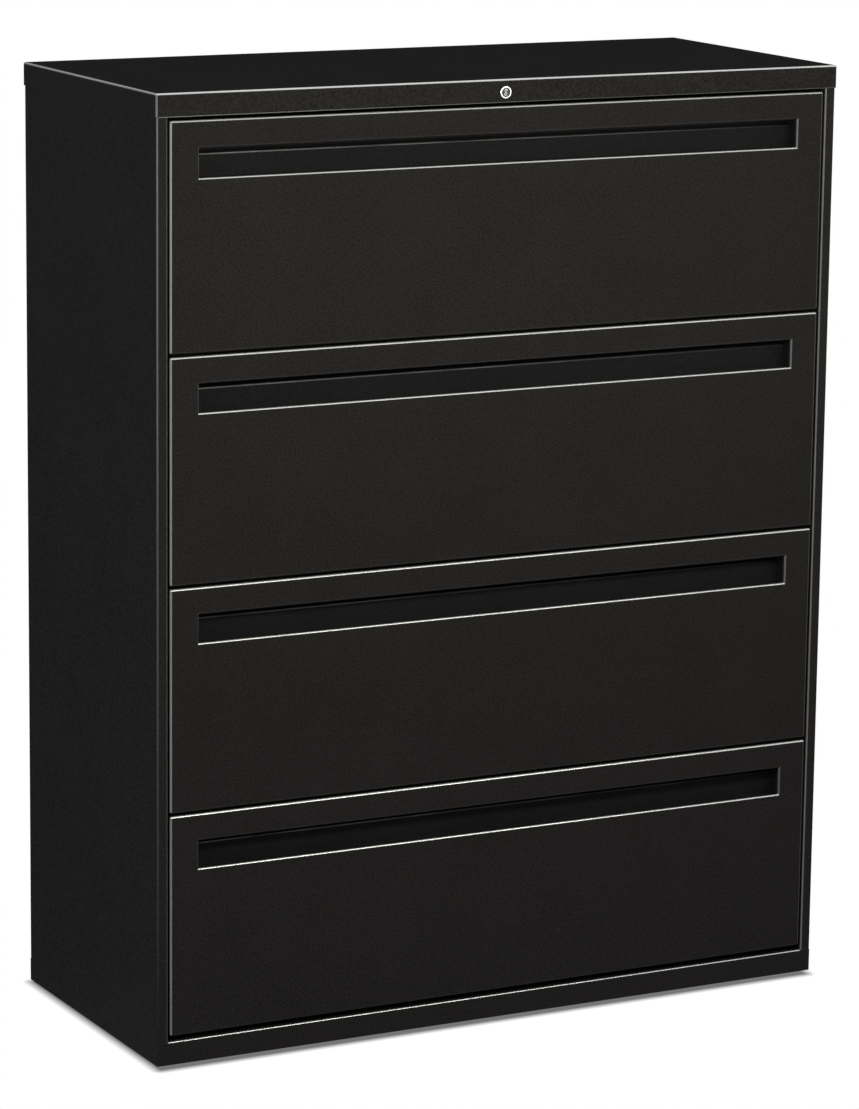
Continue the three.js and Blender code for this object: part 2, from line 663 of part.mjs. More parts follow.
// The upright bar with a hook for each drawer. Raised, the hooks stand in front of the drawers' catches.
function lockBar() {
  const left = -barX;
  const front = lap + barY;
  const bottom = baseTop + BAR.end - lockZ;
  const stripTop = lockCap - LINK.head - throwX - 2 * RUN; // clear of the link's head when raised
  const tabTop = barPinZ + 2 * BAR_PIN.radius;
  const strip = prism('z', rectangle([left, left + BAR.sheet], [front, front + BAR.width]), bottom, stripTop);
  const tabBottom = barPinZ - 2 * BAR_PIN.radius - BAR_PIN.margin;
  const tabRight = pinX + BAR_PIN.margin;
  const neckRight = left + BAR.neck;
  const neckBottom = stripTop - BAR.width;
  const tab = outline([
    [left, neckBottom],
    [neckRight, neckBottom],
    [neckRight, tabBottom],
    [tabRight, tabBottom],
    [tabRight, tabTop],
    [left, tabTop],
  ]);
  const pin = rod('y', BAR_PIN.radius, [pinX, barPinZ], linkY - RUN, tabY + SUNK, ROUND.pin);
  const hookBack = front + BAR.width - HOOK.setback;
  const hookShape = rectangle([left, -tubHalf - HOOK.reach], [hookBack - HOOK.depth, hookBack]);
  const hooks = [];
  for (let n = 1; n <= DRAWERS; n += 1) {
    const top = drawerBottom(n) + catchBottom - CATCH.gap - lockZ;
    hooks.push(prism('z', hookShape, top - HOOK.height, top));
  }
  return join(strip, prism('y', tab, tabY, tabY + LINK.sheet), pin, ...hooks);
}

function addLock(cabinet) {
  const group = addGroup(cabinet, 'lock', [0, -halfDepth, lockZ]);
  const axis = [LOCK.x, 0, 0];
  addPiece(group, 'lock_body', shown(lockBody()), NICKEL, axis);
  addPiece(group, 'lock_nut', shown(lockNut()), ZINC, axis);
  addPiece(group, 'lock_plug', shown(lockPlug()), NICKEL, axis);
  addPiece(group, 'lock_cam', shown(lockCam()), ZINC, axis);
  addPiece(group, 'lock_link', shown(lockLink()), ZINC);
  addPiece(group, 'lock_bar', shown(lockBar()), ZINC);
}

// Levelling glides: a domed foot on a threaded stem, turned on the Y axis and stood upright

function glide() {
  const { foot, edge, taper, footHeight, shoulder, stem, stemTop } = GLIDE;
  const profile = [
    [0, 0],
    [foot - edge, 0],
    [foot, edge],
    [foot - taper, footHeight / 2],
    [shoulder, footHeight],
    [stem, footHeight],
    [stem, stemTop],
    [0, stemTop],
  ];
  return turned(profile, ROUND.bore);
}

function addGlides(cabinet) {
  const group = addGroup(cabinet, 'glides');
  const geometry = shown(glide());
  for (const [name, [x, y]] of Object.entries(GLIDES)) {
    const piece = addPiece(group, `glide_${name}`, geometry, NYLON, [x, y, 0]);
    piece.rotation.x = Math.PI / 2;
  }
}

// The assembly. The lock stands proud of the front, so the footprint's middle moves back.

const cabinet = new THREE.Group();
cabinet.name = 'lateral_filing_cabinet';
cabinet.position.y = LOCK.proud / 2;
addCase(cabinet);
addDrawers(cabinet);
addLock(cabinet);
addGlides(cabinet);

export default cabinet;
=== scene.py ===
"""Lateral filing cabinet in black textured paint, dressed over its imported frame.

The case, the four drawers, the slides, the lock and the glides are each a class. A class reads its place from the
frame's own boxes, makes its visible sheet metal as surfaces worked out with numpy, and dresses the pieces with
procedural finishes. Lengths are metres, +Z is up and the drawers face -Y.
"""

import logging
import math
from dataclasses import dataclass, field
from enum import Enum
from typing import Sequence

import bmesh
import bpy
import numpy as np
from bpy.types import Material, Mesh, Node, NodeOutputs, NodeSocket, NodeTree, Object
from mathutils import Matrix, Vector


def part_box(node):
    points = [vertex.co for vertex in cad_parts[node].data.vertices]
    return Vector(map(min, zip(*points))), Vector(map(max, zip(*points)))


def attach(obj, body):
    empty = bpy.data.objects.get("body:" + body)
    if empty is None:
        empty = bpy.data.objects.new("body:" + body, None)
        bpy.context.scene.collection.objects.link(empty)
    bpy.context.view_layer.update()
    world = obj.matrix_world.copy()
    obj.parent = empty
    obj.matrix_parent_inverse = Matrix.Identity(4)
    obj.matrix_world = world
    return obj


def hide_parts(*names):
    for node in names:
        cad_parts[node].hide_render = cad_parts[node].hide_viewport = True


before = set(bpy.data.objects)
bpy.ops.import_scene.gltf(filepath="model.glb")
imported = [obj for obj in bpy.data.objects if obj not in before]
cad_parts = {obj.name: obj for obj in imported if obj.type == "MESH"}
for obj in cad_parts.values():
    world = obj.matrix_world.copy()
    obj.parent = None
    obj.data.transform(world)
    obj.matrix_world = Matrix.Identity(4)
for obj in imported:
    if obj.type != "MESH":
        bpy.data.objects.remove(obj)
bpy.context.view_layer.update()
LOG = logging.getLogger("filing_cabinet")

Pair = tuple[float, float]
Triple = tuple[float, float, float]

MM = 0.001
DRAWERS = (1, 2, 3, 4)
CORNERS = ("front_left", "front_right", "rear_left", "rear_right")
LAP = 0.3 * MM  # how far a welded piece reaches into the other
PLAY = 0.3 * MM  # clearance between pieces
LEAST_RADIUS = 0.3 * MM
SOFT_EDGE = 0.3 * MM
MERGE_DISTANCE = 1e-6
WELD_DISTANCE = 1e-5
SHARP_ANGLE = math.radians(38)
BEVEL_ANGLE = math.radians(40)
EVEN_WEIGHT = 90
FLOAT = "NodeSocketFloat"
COLOR = "NodeSocketColor"


class Side(Enum):
    """The two sides of the cabinet, seen from the front."""

    LEFT = "left"
    RIGHT = "right"

    @property
    def sign(self) -> float:
        """-1 on the left and 1 on the right."""
        return -1.0 if self is Side.LEFT else 1.0


class Axis(Enum):
    """The axis that a flat outline is drawn out along."""

    X = 0
    Y = 1
    Z = 2

    def place(self, first: np.ndarray, second: np.ndarray, along: np.ndarray) -> np.ndarray:
        """Puts an outline's two coordinates and the drawn-out one in x, y, z order.

        Args:
            first: y for X, x for Y and Z.
            second: z for X and Y, y for Z.
            along: The coordinate on this axis.

        Returns:
            An array whose last axis is x, y, z.
        """
        orders = {Axis.X: (along, first, second), Axis.Y: (first, along, second), Axis.Z: (first, second, along)}
        return np.stack(np.broadcast_arrays(*orders[self]), axis=-1)


@dataclass
class Surface:
    """Vertices, faces and the share of bend at each vertex of one mesh, which sets the strength of its painted edge
    highlight.
    """

    points: np.ndarray
    faces: list[np.ndarray] = field(default_factory=list)
    bend: np.ndarray | None = None

    def joined(self, *others: "Surface") -> "Surface":
        """One surface that holds this one and the others.

        Args:
            *others: The surfaces to add.

        Returns:
            The joined surface.
        """
        parts = (self, *others)
        starts = np.cumsum([0] + [len(part.points) for part in parts[:-1]])
        bends = [np.zeros(len(part.points)) if part.bend is None else part.bend for part in parts]
        faces = [block + start for part, start in zip(parts, starts) for block in part.faces]
        return Surface(np.concatenate([part.points for part in parts]), faces, np.concatenate(bends))


def quarter_turn(steps: int = 6) -> np.ndarray:
    """Angles from nought to a quarter turn."""
    return np.linspace(0.0, math.pi / 2, steps + 1)


def ring_facing(steps: int = 5) -> np.ndarray:
    """The angle that each point of a rounded ring faces, in the ring's own order."""
    return (np.arange(4)[:, None] * math.pi / 2 + quarter_turn(steps)[None, :]).ravel()


def rounded_ring(centre: Pair, half: Pair, radius: float, steps: int = 5) -> np.ndarray:
    """A rectangle with quarter-circle corners, as points in order round it.

    Each corner is its centre plus radius times (cos a, sin a), with a over a quarter turn.

    Args:
        centre: The rectangle's middle.
        half: Half its width and half its height.
        radius: Radius of the corners.
        steps: Steps in each corner.

    Returns:
        An array of 4 (steps + 1) points.
    """
    angle = ring_facing(steps).reshape(4, -1)
    sign_u = np.array([1.0, -1.0, -1.0, 1.0])[:, None]
    sign_v = np.array([1.0, 1.0, -1.0, -1.0])[:, None]
    u = centre[0] + sign_u * (half[0] - radius) + radius * np.cos(angle)
    v = centre[1] + sign_v * (half[1] - radius) + radius * np.sin(angle)
    return np.stack([u, v], axis=-1).reshape(-1, 2)


def loft(rings: np.ndarray, bend: np.ndarray, closed: bool) -> Surface:
    """Quads from each ring to the next, with the rings closed on themselves.

    Args:
        rings: Points, one row a ring, every ring with as many points.
        bend: The share of bend of each ring, or of each point.
        closed: True joins the last ring to the first, and False closes both ends with a flat face.

    Returns:
        The lofted surface.
    """
    count, around = rings.shape[:2]
    rows = np.arange(count if closed else count - 1)[:, None]
    cols = np.arange(around)[None, :]
    after_row = (rows + 1) % count
    after_col = (cols + 1) % around
    here, there = rows * around, after_row * around
    corners = (here + cols, here + after_col, there + after_col, there + cols)
    quads = np.stack([np.broadcast_to(c, (len(rows), around)) for c in corners], axis=-1).reshape(-1, 4)
    faces = [quads]
    if not closed:
        faces.append(np.arange(around)[None, ::-1])
        faces.append((count - 1) * around + np.arange(around)[None, :])
    share = np.broadcast_to(bend.reshape(count, -1), (count, around))
    return Surface(rings.reshape(-1, 3), faces, share.ravel())


def bent_sheet(
    path: Sequence[Pair], sheet: float, bend: float, steps: int = 6
) -> tuple[np.ndarray, np.ndarray]:
    """The closed outline of a sheet bent along a path.

    At each corner the middle line follows an arc of radius bend plus half the sheet, from the point where the straight
    run ends. The two faces lie half the sheet to each side, so they turn on the same centre.

    Args:
        path: The corners of the sheet's middle line.
        sheet: Thickness.
        bend: Inside radius of every bend.
        steps: Steps in each bend.

    Returns:
        The outline's points, and 1 for each point on a bend and 0 elsewhere.
    """
    corner = np.asarray(path, float)
    runs = np.diff(corner, axis=0)
    runs /= np.linalg.norm(runs, axis=1, keepdims=True)
    across = np.stack([-runs[:, 1], runs[:, 0]], axis=-1)
    into, out = runs[:-1], runs[1:]
    turn = np.arctan2(into[:, 0] * out[:, 1] - into[:, 1] * out[:, 0], (into * out).sum(1))
    side = np.sign(turn)[:, None]
    middle = bend + sheet / 2
    start = corner[1:-1] - into * (middle * np.tan(np.abs(turn) / 2))[:, None]
    centre = start + across[:-1] * side * middle
    angle = turn[:, None] * np.linspace(0.0, 1.0, steps + 1)[None, :]
    spoke = -across[:-1] * side
    cos, sin = np.cos(angle)[..., None], np.sin(angle)[..., None]
    swung = spoke[:, None, :] * cos + np.stack([-spoke[:, 1], spoke[:, 0]], axis=-1)[:, None, :] * sin
    left_arc = centre[:, None, :] + swung * (middle - side[:, None, :] * sheet / 2)
    right_arc = centre[:, None, :] + swung * (middle + side[:, None, :] * sheet / 2)
    ends = corner[[0, -1]]
    shift = across[[0, -1]] * sheet / 2
    left = np.concatenate([ends[:1] + shift[:1], left_arc.reshape(-1, 2), ends[1:] + shift[1:]])
    right = np.concatenate([ends[:1] - shift[:1], right_arc.reshape(-1, 2), ends[1:] - shift[1:]])
    arc_mark = np.concatenate([[0.0], np.ones(steps - 1), [0.0]])
    mark = np.concatenate([[0.0], np.tile(arc_mark, len(turn)), [0.0]])
    return np.concatenate([left, right[::-1]]), np.concatenate([mark, mark[::-1]])


def drawn_out(
    outline: np.ndarray,
    mark: np.ndarray,
    axis: Axis,
    low: float,
    high: float,
    low_share: np.ndarray | float = 1.0,
    high_share: float = 1.0,
) -> Surface:
    """A closed outline carried straight along an axis, with flat ends.

    Args:
        outline: The outline's points.
        mark: The share of bend at each point.
        axis: The axis.
        low: Where the piece starts.
        high: Where the piece ends.
        low_share: How much of the mark is left at the low end.
        high_share: How much of the mark is left at the high end.

    Returns:
        The closed surface.
    """
    count = len(outline)
    ends = np.array([low, high])[:, None]
    points = axis.place(outline[None, :, 0], outline[None, :, 1], ends).reshape(-1, 3)
    here = np.arange(count)
    after = (here + 1) % count
    walls = np.stack([here, after, after + count, here + count], axis=-1)
    marks = np.concatenate([mark * low_share, mark * high_share])
    return Surface(points, [walls, here[None, ::-1], (here + count)[None, :]], marks)


def revolved(profile: np.ndarray, centre: Sequence[float], axis: Axis, ring: bool, around: int = 64) -> Surface:
    """A profile turned round an axis: each point becomes a circle of its radius at its distance along the axis.

    Args:
        profile: Rows of radius and distance.
        centre: A point on the axis.
        axis: The axis.
        ring: True joins the profile's end to its start, and False closes both ends with a flat disc.
        around: Steps in a turn.

    Returns:
        The turned surface.
    """
    radius, along = profile.T
    angle = np.linspace(0.0, 2 * math.pi, around, endpoint=False)
    first = radius[:, None] * np.cos(angle)[None, :]
    second = radius[:, None] * np.sin(angle)[None, :]
    rings = axis.place(first, second, along[:, None]) + np.asarray(centre, float)[None, None, :]
    return loft(rings, np.zeros(len(radius)), closed=ring)


def make_piece(name: str, surface: Surface, body: str, replaces: Sequence[str] = ()) -> Object:
    """Puts a surface into a mesh object that rides on a body.

    Args:
        name: The piece's name.
        surface: Its vertices and faces.
        body: The body it moves with.
        replaces: The frame's nodes that it stands for.

    Returns:
        The object.
    """
    mesh = bpy.data.meshes.new(name)
    faces = [face.tolist() for block in surface.faces for face in block]
    mesh.from_pydata(surface.points.tolist(), [], faces)
    # The bend share goes to the mesh as the attribute that places the painted edge highlight.
    if surface.bend is not None:
        layer = mesh.attributes.new("bend", "FLOAT", "POINT")
        layer.data.foreach_set("value", surface.bend.astype(np.float32))
    piece = bpy.data.objects.new(name, mesh)
    bpy.context.collection.objects.link(piece)
    facing_out(mesh)
    mesh.polygons.foreach_set("use_smooth", np.ones(len(mesh.polygons), bool))
    mesh.set_sharp_from_angle(angle=SHARP_ANGLE)
    even = piece.modifiers.new("even_shading", "WEIGHTED_NORMAL")
    even.keep_sharp = True
    even.weight = EVEN_WEIGHT
    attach(piece, body)
    if replaces:
        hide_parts(*replaces)
    LOG.info("%s: %d faces on %s", name, len(mesh.polygons), body)
    return piece


def facing_out(mesh: Mesh) -> None:
    """Merges a mesh's doubles and turns every face outwards.

    Args:
        mesh: The mesh.
    """
    work = bmesh.new()
    work.from_mesh(mesh)
    bmesh.ops.remove_doubles(work, verts=work.verts, dist=MERGE_DISTANCE)
    bmesh.ops.recalc_face_normals(work, faces=work.faces)
    work.to_mesh(mesh)
    work.free()


def soften_node(node: str, width: float = SOFT_EDGE) -> None:
    """Rounds the edges of a node that keeps its own mesh.

    Args:
        node: The node's name.
        width: Width of the rounding.
    """
    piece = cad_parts[node]
    weld = piece.modifiers.new("weld", "WELD")
    weld.merge_threshold = WELD_DISTANCE
    edge = piece.modifiers.new("edge", "BEVEL")
    edge.width = width
    edge.segments = 2
    edge.limit_method = "ANGLE"
    edge.angle_limit = BEVEL_ANGLE
    edge.harden_normals = True


class Nodes:
    """A small builder for a node tree."""

    def __init__(self, tree: NodeTree) -> None:
        """Empties the tree and starts in it."""
        self.tree = tree
        tree.nodes.clear()

    def add(self, kind: str, values: dict | None = None, **settings: object) -> Node:
        """Adds a node.

        Args:
            kind: The node's type.
            values: Socket name or index to a plain value or to the socket that feeds it.
            **settings: The node's own properties.

        Returns:
            The node.
        """
        node = self.tree.nodes.new(kind)
        for key, value in settings.items():
            setattr(node, key, value)
        for key, value in (values or {}).items():
            if isinstance(value, NodeSocket):
                self.tree.links.new(value, node.inputs[key])
            else:
                node.inputs[key].default_value = value
        return node

    def maths(self, operation: str, *terms: object) -> NodeSocket:
        """The result of a Math node on numbers or sockets."""
        return self.add("ShaderNodeMath", dict(enumerate(terms)), operation=operation).outputs[0]

    def vector(self, operation: str, *terms: object) -> Node:
        """A Vector Math node on vectors or sockets."""
        return self.add("ShaderNodeVectorMath", dict(enumerate(terms)), operation=operation)

    def scaled(self, vector: NodeSocket, factor: NodeSocket) -> NodeSocket:
        """A vector or colour times a number."""
        return self.add("ShaderNodeVectorMath", {0: vector, "Scale": factor}, operation="SCALE").outputs[0]

    def place(self) -> NodeSocket:
        """The Object coordinates."""
        return self.add("ShaderNodeTexCoord").outputs["Object"]

    def axes(self, vector: NodeSocket) -> NodeOutputs:
        """The three coordinates of a vector."""
        return self.add("ShaderNodeSeparateXYZ", {0: vector}).outputs

    def noise(self, place: NodeSocket, scale: object, detail: float) -> NodeSocket:
        """Noise at a place, between 0 and 1."""
        return self.add("ShaderNodeTexNoise", {"Vector": place, "Scale": scale, "Detail": detail}).outputs[0]

    def ranged(self, value: NodeSocket, source: Pair, target: tuple[object, object] = (0.0, 1.0)) -> NodeSocket:
        """Carries a value from one range to another and holds it at the ends.

        Args:
            value: The value.
            source: Where the value's range starts and ends.
            target: What those two become.

        Returns:
            The carried value.
        """
        ends = {"From Min": source[0], "From Max": source[1], "To Min": target[0], "To Max": target[1]}
        return self.add("ShaderNodeMapRange", {"Value": value, **ends}).outputs[0]

    def coat(self, values: dict, relief: dict) -> None:
        """Ends a material with a Principled BSDF and the Bump node that feeds its Normal.

        Args:
            values: The Principled BSDF's inputs.
            relief: The Bump node's inputs.
        """
        normal = self.add("ShaderNodeBump", relief).outputs[0]
        shader = self.add("ShaderNodeBsdfPrincipled", {**values, "Normal": normal})
        self.add("ShaderNodeOutputMaterial", {"Surface": shader.outputs[0]})


def new_material(name: str) -> tuple[Material, Nodes]:
    """A new material and a builder for its emptied tree.

    Args:
        name: The material's name.

    Returns:
        The material and the builder.
    """
    material = bpy.data.materials.new(name)
    material.use_nodes = True
    return material, Nodes(material.node_tree)


def new_group(
    name: str, inputs: dict[str, tuple[str, object]], outputs: dict[str, str]
) -> tuple[NodeTree, Nodes]:
    """A shader node group with named sockets.

    Args:
        name: The group's name.
        inputs: Socket name to its type and default value.
        outputs: Socket name to its type.

    Returns:
        The group and a builder for it.
    """
    group = bpy.data.node_groups.new(name, "ShaderNodeTree")
    for label, (kind, default) in inputs.items():
        made = group.interface.new_socket(label, in_out="INPUT", socket_type=kind)
        made.default_value = default
    for label, kind in outputs.items():
        group.interface.new_socket(label, in_out="OUTPUT", socket_type=kind)
    return group, Nodes(group)


def orange_peel_group() -> NodeTree:
    """Fine texture of sprayed paint: specks in the colour, an uneven gloss and a height for the bump.

    The height is fine noise and cells at the grain's scale, on Object coordinates. The colour is scaled by 1 plus the
    speck strength times the fine noise and plus a soft cloud, which shifts the gloss too.

    Returns:
        The node group.
    """
    group, tree = new_group(
        "orange_peel",
        {
            "Color": (COLOR, (0.012, 0.011, 0.011, 1.0)),
            "Roughness": (FLOAT, 0.45),
            "Grain": (FLOAT, 900.0),
            "Speck": (FLOAT, 0.3),
        },
        {"Color": COLOR, "Roughness": FLOAT, "Height": FLOAT},
    )
    cloud_scale, cloud_share, gloss_swing = 9.0, 0.25, 0.35
    fine_share, cell_share = 0.6, 0.4
    given = tree.add("NodeGroupInput").outputs
    place = tree.place()
    fine = tree.noise(place, given["Grain"], 2.0)
    soft = tree.noise(place, cloud_scale, 3.0)
    cells = tree.add("ShaderNodeTexVoronoi", {"Vector": place, "Scale": given["Grain"]}).outputs["Distance"]
    speck = tree.maths("MULTIPLY", tree.maths("SUBTRACT", fine, 0.5), given["Speck"])
    cloud = tree.maths("MULTIPLY", tree.maths("SUBTRACT", soft, 0.5), cloud_share)
    level = tree.maths("ADD", 1.0, tree.maths("ADD", speck, cloud))
    tint = tree.scaled(given["Color"], level)
    gloss = tree.maths("ADD", given["Roughness"], tree.maths("MULTIPLY", cloud, gloss_swing))
    height = tree.maths("ADD", tree.maths("MULTIPLY", fine, fine_share), tree.maths("MULTIPLY", cells, cell_share))
    tree.add("NodeGroupOutput", {"Color": tint, "Roughness": gloss, "Height": height})
    return group


def painted_edge_highlight_group() -> NodeTree:
    """Mask of a painted highlight on the bends: the bend attribute, broken up by soft noise.

    The mask is full where a bend faces up and nothing where it faces down, as painted light from above. Where it faces
    sideways it has the side share, which fades to the low share from the cabinet's top to its plinth and is a quarter
    on bends that face right, as painted light that comes from the upper left.

    Returns:
        The node group.
    """
    sockets = {"Break": (FLOAT, 0.25), "Side": (FLOAT, 0.3), "Low": (FLOAT, 0.5)}
    group, tree = new_group("painted_edge_highlight", sockets, {"Mask": FLOAT})
    plinth, top = 0.15, 1.3
    right_share, patch_scale = 0.25, 14.0
    given = tree.add("NodeGroupInput").outputs
    bend = tree.add("ShaderNodeAttribute", attribute_name="bend").outputs["Fac"]
    facing = tree.axes(tree.add("ShaderNodeNewGeometry").outputs["Normal"])
    place = tree.place()
    # Painted light from the upper left: bends that face right get a quarter, sideways bends fade towards the plinth,
    # and bends that face up get all of the painted highlight.
    handed = tree.ranged(facing["X"], (0.1, -0.1), (right_share, 1.0))
    fade = tree.ranged(tree.axes(place)["Z"], (plinth, top), (given["Low"], 1.0))
    not_down = tree.ranged(facing["Z"], (-0.25, -0.05))
    raised = tree.ranged(facing["Z"], (0.15, 0.5))
    share = tree.maths("MULTIPLY", given["Side"], handed)
    sideways = tree.maths("MULTIPLY", tree.maths("MULTIPLY", not_down, fade), share)
    patches = tree.maths("MULTIPLY", tree.noise(place, patch_scale, 3.0), given["Break"])
    unbroken = tree.maths("MAXIMUM", tree.maths("SUBTRACT", 1.0, patches), 0.0)
    highlighted_bends = tree.maths("MULTIPLY", bend, tree.maths("MAXIMUM", sideways, raised))
    tree.add("NodeGroupOutput", {"Mask": tree.maths("MULTIPLY", highlighted_bends, unbroken)})
    return group


def rolled_grain_group() -> NodeTree:
    """Drawing lines of plated strip: noise stretched along Y, for the gloss and a faint bump.

    Returns:
        The node group.
    """
    group, tree = new_group(
        "rolled_grain",
        {"Color": (COLOR, (0.5, 0.5, 0.5, 1.0)), "Roughness": (FLOAT, 0.35), "Lines": (FLOAT, 700.0)},
        {"Color": COLOR, "Roughness": FLOAT, "Height": FLOAT},
    )
    stretch, bloom_scale = (1.0, 0.02, 1.0), 60.0
    line_share, bloom_share = 0.16, 0.14
    least_tint, gloss_drop, gloss_swing = 0.85, 0.1, 0.7
    given = tree.add("NodeGroupInput").outputs
    place = tree.place()
    drawn = tree.add("ShaderNodeMapping", {"Vector": place, "Scale": stretch}).outputs[0]
    lines = tree.noise(drawn, given["Lines"], 3.0)
    bloom = tree.noise(place, bloom_scale, 4.0)
    spread = tree.maths("ADD", tree.maths("MULTIPLY", lines, line_share), tree.maths("MULTIPLY", bloom, bloom_share))
    tint = tree.scaled(given["Color"], tree.maths("ADD", least_tint, spread))
    smooth = tree.maths("SUBTRACT", given["Roughness"], gloss_drop)
    gloss = tree.maths("ADD", smooth, tree.maths("MULTIPLY", spread, gloss_swing))
    tree.add("NodeGroupOutput", {"Color": tint, "Roughness": gloss, "Height": lines})
    return group


@dataclass(frozen=True)
class PaintFinish:
    """Satin textured paint with a painted highlight on its bends."""

    name: str
    color: Triple
    roughness: float
    grain: float
    speck: float
    # This field and the three after it set the painted highlight on the bends: its strength as a pale metal, its share
    # on sideways bends, what is left of that at the plinth, and how much noise breaks it.
    edge_highlight: float
    side_share: float = 0.3
    low_share: float = 0.5
    broken: float = 0.25
    specular: float = 0.002
    # The colour of the painted highlight on the bends.
    highlight_color: Triple = (0.8, 0.8, 0.79)
    smoothing: float = 0.22
    bump: float = 0.16
    depth: float = 0.4 * MM

    def make(self, peel: NodeTree, edge: NodeTree) -> Material:
        """Builds the material.

        Args:
            peel: The orange peel group.
            edge: The painted edge highlight group.

        Returns:
            The material.
        """
        material, tree = new_material(self.name)
        spray = {"Color": (*self.color, 1.0), "Roughness": self.roughness, "Grain": self.grain, "Speck": self.speck}
        texture = tree.add("ShaderNodeGroup", spray, node_tree=peel).outputs
        highlight_inputs = {"Side": self.side_share, "Low": self.low_share, "Break": self.broken}
        mask = tree.add("ShaderNodeGroup", highlight_inputs, node_tree=edge).outputs["Mask"]
        # Painted highlight: where the mask is, the paint turns smoother and into a pale metal.
        rough = tree.maths("SUBTRACT", texture["Roughness"], tree.maths("MULTIPLY", mask, self.smoothing))
        metal = tree.maths("MULTIPLY", mask, self.edge_highlight)
        first, second = 6, 7  # the Mix node's colour sockets
        mixed = {"Factor": metal, first: texture["Color"], second: (*self.highlight_color, 1.0)}
        color = tree.add("ShaderNodeMix", mixed, data_type="RGBA").outputs[2]
        tree.coat(
            {"Base Color": color, "Roughness": rough, "Metallic": metal, "Specular IOR Level": self.specular},
            {"Height": texture["Height"], "Strength": self.bump, "Distance": self.depth},
        )
        return material


@dataclass(frozen=True)
class PlatedFinish:
    """Plated steel with fine drawing lines."""

    name: str
    color: Triple
    roughness: float
    lines: float
    bump: float
    depth: float = 0.2 * MM

    def make(self, grain: NodeTree) -> Material:
        """Builds the material.

        Args:
            grain: The rolled grain group.

        Returns:
            The material.
        """
        material, tree = new_material(self.name)
        plate = {"Color": (*self.color, 1.0), "Roughness": self.roughness, "Lines": self.lines}
        texture = tree.add("ShaderNodeGroup", plate, node_tree=grain).outputs
        tree.coat(
            {"Base Color": texture["Color"], "Roughness": texture["Roughness"], "Metallic": 1.0},
            {"Height": texture["Height"], "Strength": self.bump, "Distance": self.depth},
        )
        return material


@dataclass
class Finishes:
    """Every finish on the cabinet, made once."""

    paint: Material
    case_paint: Material
    pocket_paint: Material
    inner_paint: Material
    nylon: Material
    zinc: Material
    dark_zinc: Material
    nickel: Material
    dark_nickel: Material

    @classmethod
    def make_all(cls) -> "Finishes":
        """Builds the shared node groups and the materials that use them.

        Returns:
            The finishes.
        """
        peel, edge, grain = orange_peel_group(), painted_edge_highlight_group(), rolled_grain_group()
        # The pocket's black is darker than the face's as painted shade in the recess, and the inside black is lighter
        # as painted light for the dim insides of the case and drawers.
        black, shaded, inside = (0.0163, 0.0151, 0.0152), (0.0122, 0.0112, 0.012), (0.026, 0.0248, 0.025)
        paints = {
            # Each paint's numbers after the grain and speck set the painted highlight on its bends.
            "paint": PaintFinish("black_paint", black, 0.42, 420.0, 1.9, 0.9, side_share=0.34, low_share=0.75),
            "case_paint": PaintFinish("black_case", black, 0.42, 420.0, 1.9, 0.9, side_share=0.17, low_share=1.0),
            "pocket_paint": PaintFinish("black_pocket", shaded, 0.45, 420.0, 1.6, 0.4, broken=1.1),
            "inner_paint": PaintFinish("black_paint_inner", inside, 0.5, 800.0, 0.4, 0.3),
            "nylon": PaintFinish("black_nylon", (0.008, 0.008, 0.008), 0.55, 1500.0, 0.3, 0.0),
        }
        plates = {
            "zinc": PlatedFinish("zinc_plate", (0.56, 0.57, 0.56), 0.36, 900.0, 0.12),
            "dark_zinc": PlatedFinish("dark_zinc", (0.2, 0.2, 0.21), 0.32, 900.0, 0.1),
            "nickel": PlatedFinish("nickel_plate", (0.78, 0.77, 0.74), 0.2, 1500.0, 0.05),
            "dark_nickel": PlatedFinish("dark_nickel", (0.025, 0.025, 0.026), 0.3, 1500.0, 0.05),
        }
        made = {key: finish.make(peel, edge) for key, finish in paints.items()}
        made |= {key: finish.make(grain) for key, finish in plates.items()}
        return cls(**made)


def dress(piece: Object, material: Material) -> None:
    """Gives a piece one material in every slot."""
    piece.data.materials.clear()
    piece.data.materials.append(material)


def dress_node(node: str, material: Material) -> None:
    """Gives a frame's node one material in every slot.

    Args:
        node: The node's name.
        material: The material.
    """
    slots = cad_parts[node].material_slots
    for place in slots:
        place.material = material
    if not slots:
        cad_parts[node].data.materials.append(material)


